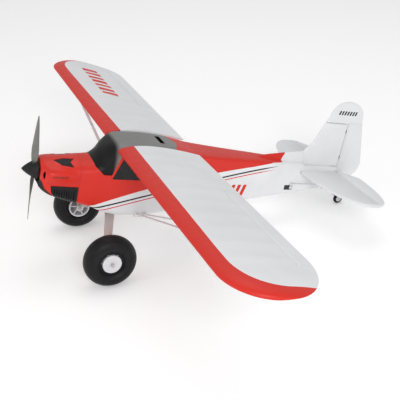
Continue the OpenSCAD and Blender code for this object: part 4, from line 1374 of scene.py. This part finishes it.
def propeller():
    hub = turned([(2, 3.6), (10.2, 3.6), (11, 4.4), (11, 14.7), (10.2, 15.5), (2, 15.5)],
        (NOSE_X, 0, THRUST_Z), (1, 0, 0), 64)
    root = 6
    stations = [root + (PROP_D / 2 - 0.3 - root) * sin(pi / 2 * i / 44) for i in range(45)]
    for angle in (PROP_TURN, PROP_TURN + pi):
        blade = loft([blade_ring(r) for r in stations])
        place = Matrix.Translation((PROP_X, 0, THRUST_Z))
        blade.data.transform(place @ Matrix.Rotation(angle, 4, "X"))
        join(hub, blade)
    cut(hub, shaft(NOSE_X, NOSE_X + 30, 2.0, 32))
    shade(hub, sharp=38)
    finish(hub, "propeller", "propeller", PROP_GREY)


def spinner():
    length = SPINNER_TIP - NOSE_X - 3.5
    profile = [(0, 0), (SPINNER_R - 0.6, 0), (SPINNER_R - 0.6, 0.5), (SPINNER_R, 0.6)]
    profile += [(SPINNER_R * (1 - t**1.35) ** 0.85, length * t) for t in np.linspace(0.03, 1, 34)]
    profile[-1] = (0, length)
    cone = turned(profile, (NOSE_X + 3.5, 0, THRUST_Z), (1, 0, 0), 96)
    cut(cone, shaft(NOSE_X + 3, NOSE_X + 17, 11.4, 48))
    cut(cone, shaft(NOSE_X + 3, 178.5, 2.05, 32))
    for s in (1, -1):
        low, high = sorted((THRUST_Z + s * 6, THRUST_Z + s * 36))
        cut(cone, box((NOSE_X + 3, -7.5, low), (NOSE_X + 15, 7.5, high)))
    shade(cone, sharp=30)
    finish(cone, "spinner", "propeller", TRIM)
    plate = turned([(2, 1.5), (SPINNER_R + 0.4, 1.5), (SPINNER_R + 0.8, 1.9), (SPINNER_R + 0.8, 3.1),
        (SPINNER_R + 0.4, 3.5), (2, 3.5)], (NOSE_X, 0, THRUST_Z), (1, 0, 0), 96)
    shade(plate, sharp=30)
    finish(plate, "spinner_backplate", "propeller", TRIM)


propeller()
spinner()

# ---- small parts from the CAD
SOFTENED = {
    (ALLOY, 0.5): ["gear_strap"],
    (WHITE_PLASTIC, 0.5): ["gear_plate"],
    (STRUT_GREY, 0.5): ["strut_brackets"],
    (BATTERY, 3.0): ["battery"],
    (WEB, 0.4): ["battery_strap"],
    (CASE, 0.8): ["receiver"],
    (ESC, 1.5): ["speed_controller"],
    (CASE, 0.5): ["aileron_servo_left", "aileron_servo_right", "elevator_servo", "rudder_servo"],
    (TRIM, 0.5): ["hatch_latch"],
    (TRIM, 0.4): ["tail_bracket"],
}
for (material, width), nodes in SOFTENED.items():
    for node in nodes:
        softened(node, "latch" if node == "hatch_latch" else "airframe", material, width)

AS_PACKED = {
    WHITE_PLASTIC: ["aileron_arm_left", "aileron_arm_right", "elevator_arm", "rudder_arm"],
    TRIM: ["aileron_horn_left", "aileron_horn_right", "elevator_joiner", "rudder_horn", "surface_hinges"],
    STEEL: ["aileron_rod_left", "aileron_rod_right", "elevator_rod", "rudder_rod", "tail_wire", "axles",
        "gear_fasteners", "motor_stator"],
    PLY: ["firewall"],
    MOTOR: ["motor_can"],
    CARBON: ["wing_spar"],
}
for material, nodes in AS_PACKED.items():
    for holder in (h for node in nodes for h in frame["nodes"][node].material_slots):
        holder.link = "OBJECT"
        holder.material = material


# ---- studio
def studio():
    far = 14.0
    corners = [(-far, -far, 0), (far, -far, 0), (far, far, 0), (-far, far, 0)]
    floor = new_object("floor", corners, [(0, 1, 2, 3)])
    paper = bpy.data.materials.new("paper")
    paper.use_nodes = True
    paper_shader = paper.node_tree.nodes["Principled BSDF"]
    fill(paper_shader, Base_Color=(0.92, 0.92, 0.92, 1), Roughness=0.9)
    fill(paper_shader, Emission_Color=(1, 1, 1, 1), Emission_Strength=0.2)
    floor.data.materials.append(paper)

    world = bpy.data.worlds.new("studio")
    scene.world = world
    world.use_nodes = True
    fill(world.node_tree.nodes["Background"], Color=(1, 1, 1, 1), Strength=0.6)
    scene.view_settings.view_transform = "Standard"

    lamps = (
        ("key", (0.5, 2.6, 1.5), 1.0, 27),
        ("top", (-0.5, -0.6, 2.8), 2.0, 12),
        ("fill", (2.6, 0.4, 1.2), 1.4, 6),
    )
    for name, place, width, power in lamps:
        light = bpy.data.lights.new(name, "AREA")
        light.shape, light.size, light.energy = "DISK", width, power
        lamp = bpy.data.objects.new(name, light)
        lamp.location = place
        lamp.rotation_euler = (Vector((0, 0, 0.15)) - Vector(place)).to_track_quat("-Z", "Y").to_euler()
        scene.collection.objects.link(lamp)


def camera():
    lens = bpy.data.cameras.new("camera")
    lens.lens, lens.sensor_width = 69.77, 36
    eye = bpy.data.objects.new("camera", lens)
    target = Vector((0.0024, -0.0348, 0.0621))
    azimuth, elevation, distance = radians(158.41), radians(26.91), 1.842
    back = Vector((sin(azimuth) * cos(elevation), -cos(azimuth) * cos(elevation), sin(elevation)))
    eye.location = target + back * distance
    turn = (-back).to_track_quat("-Z", "Y")
    eye.rotation_euler = (turn @ Euler((0, 0, radians(-0.6))).to_quaternion()).to_euler()
    scene.collection.objects.link(eye)
    scene.camera = eye


studio()
camera()
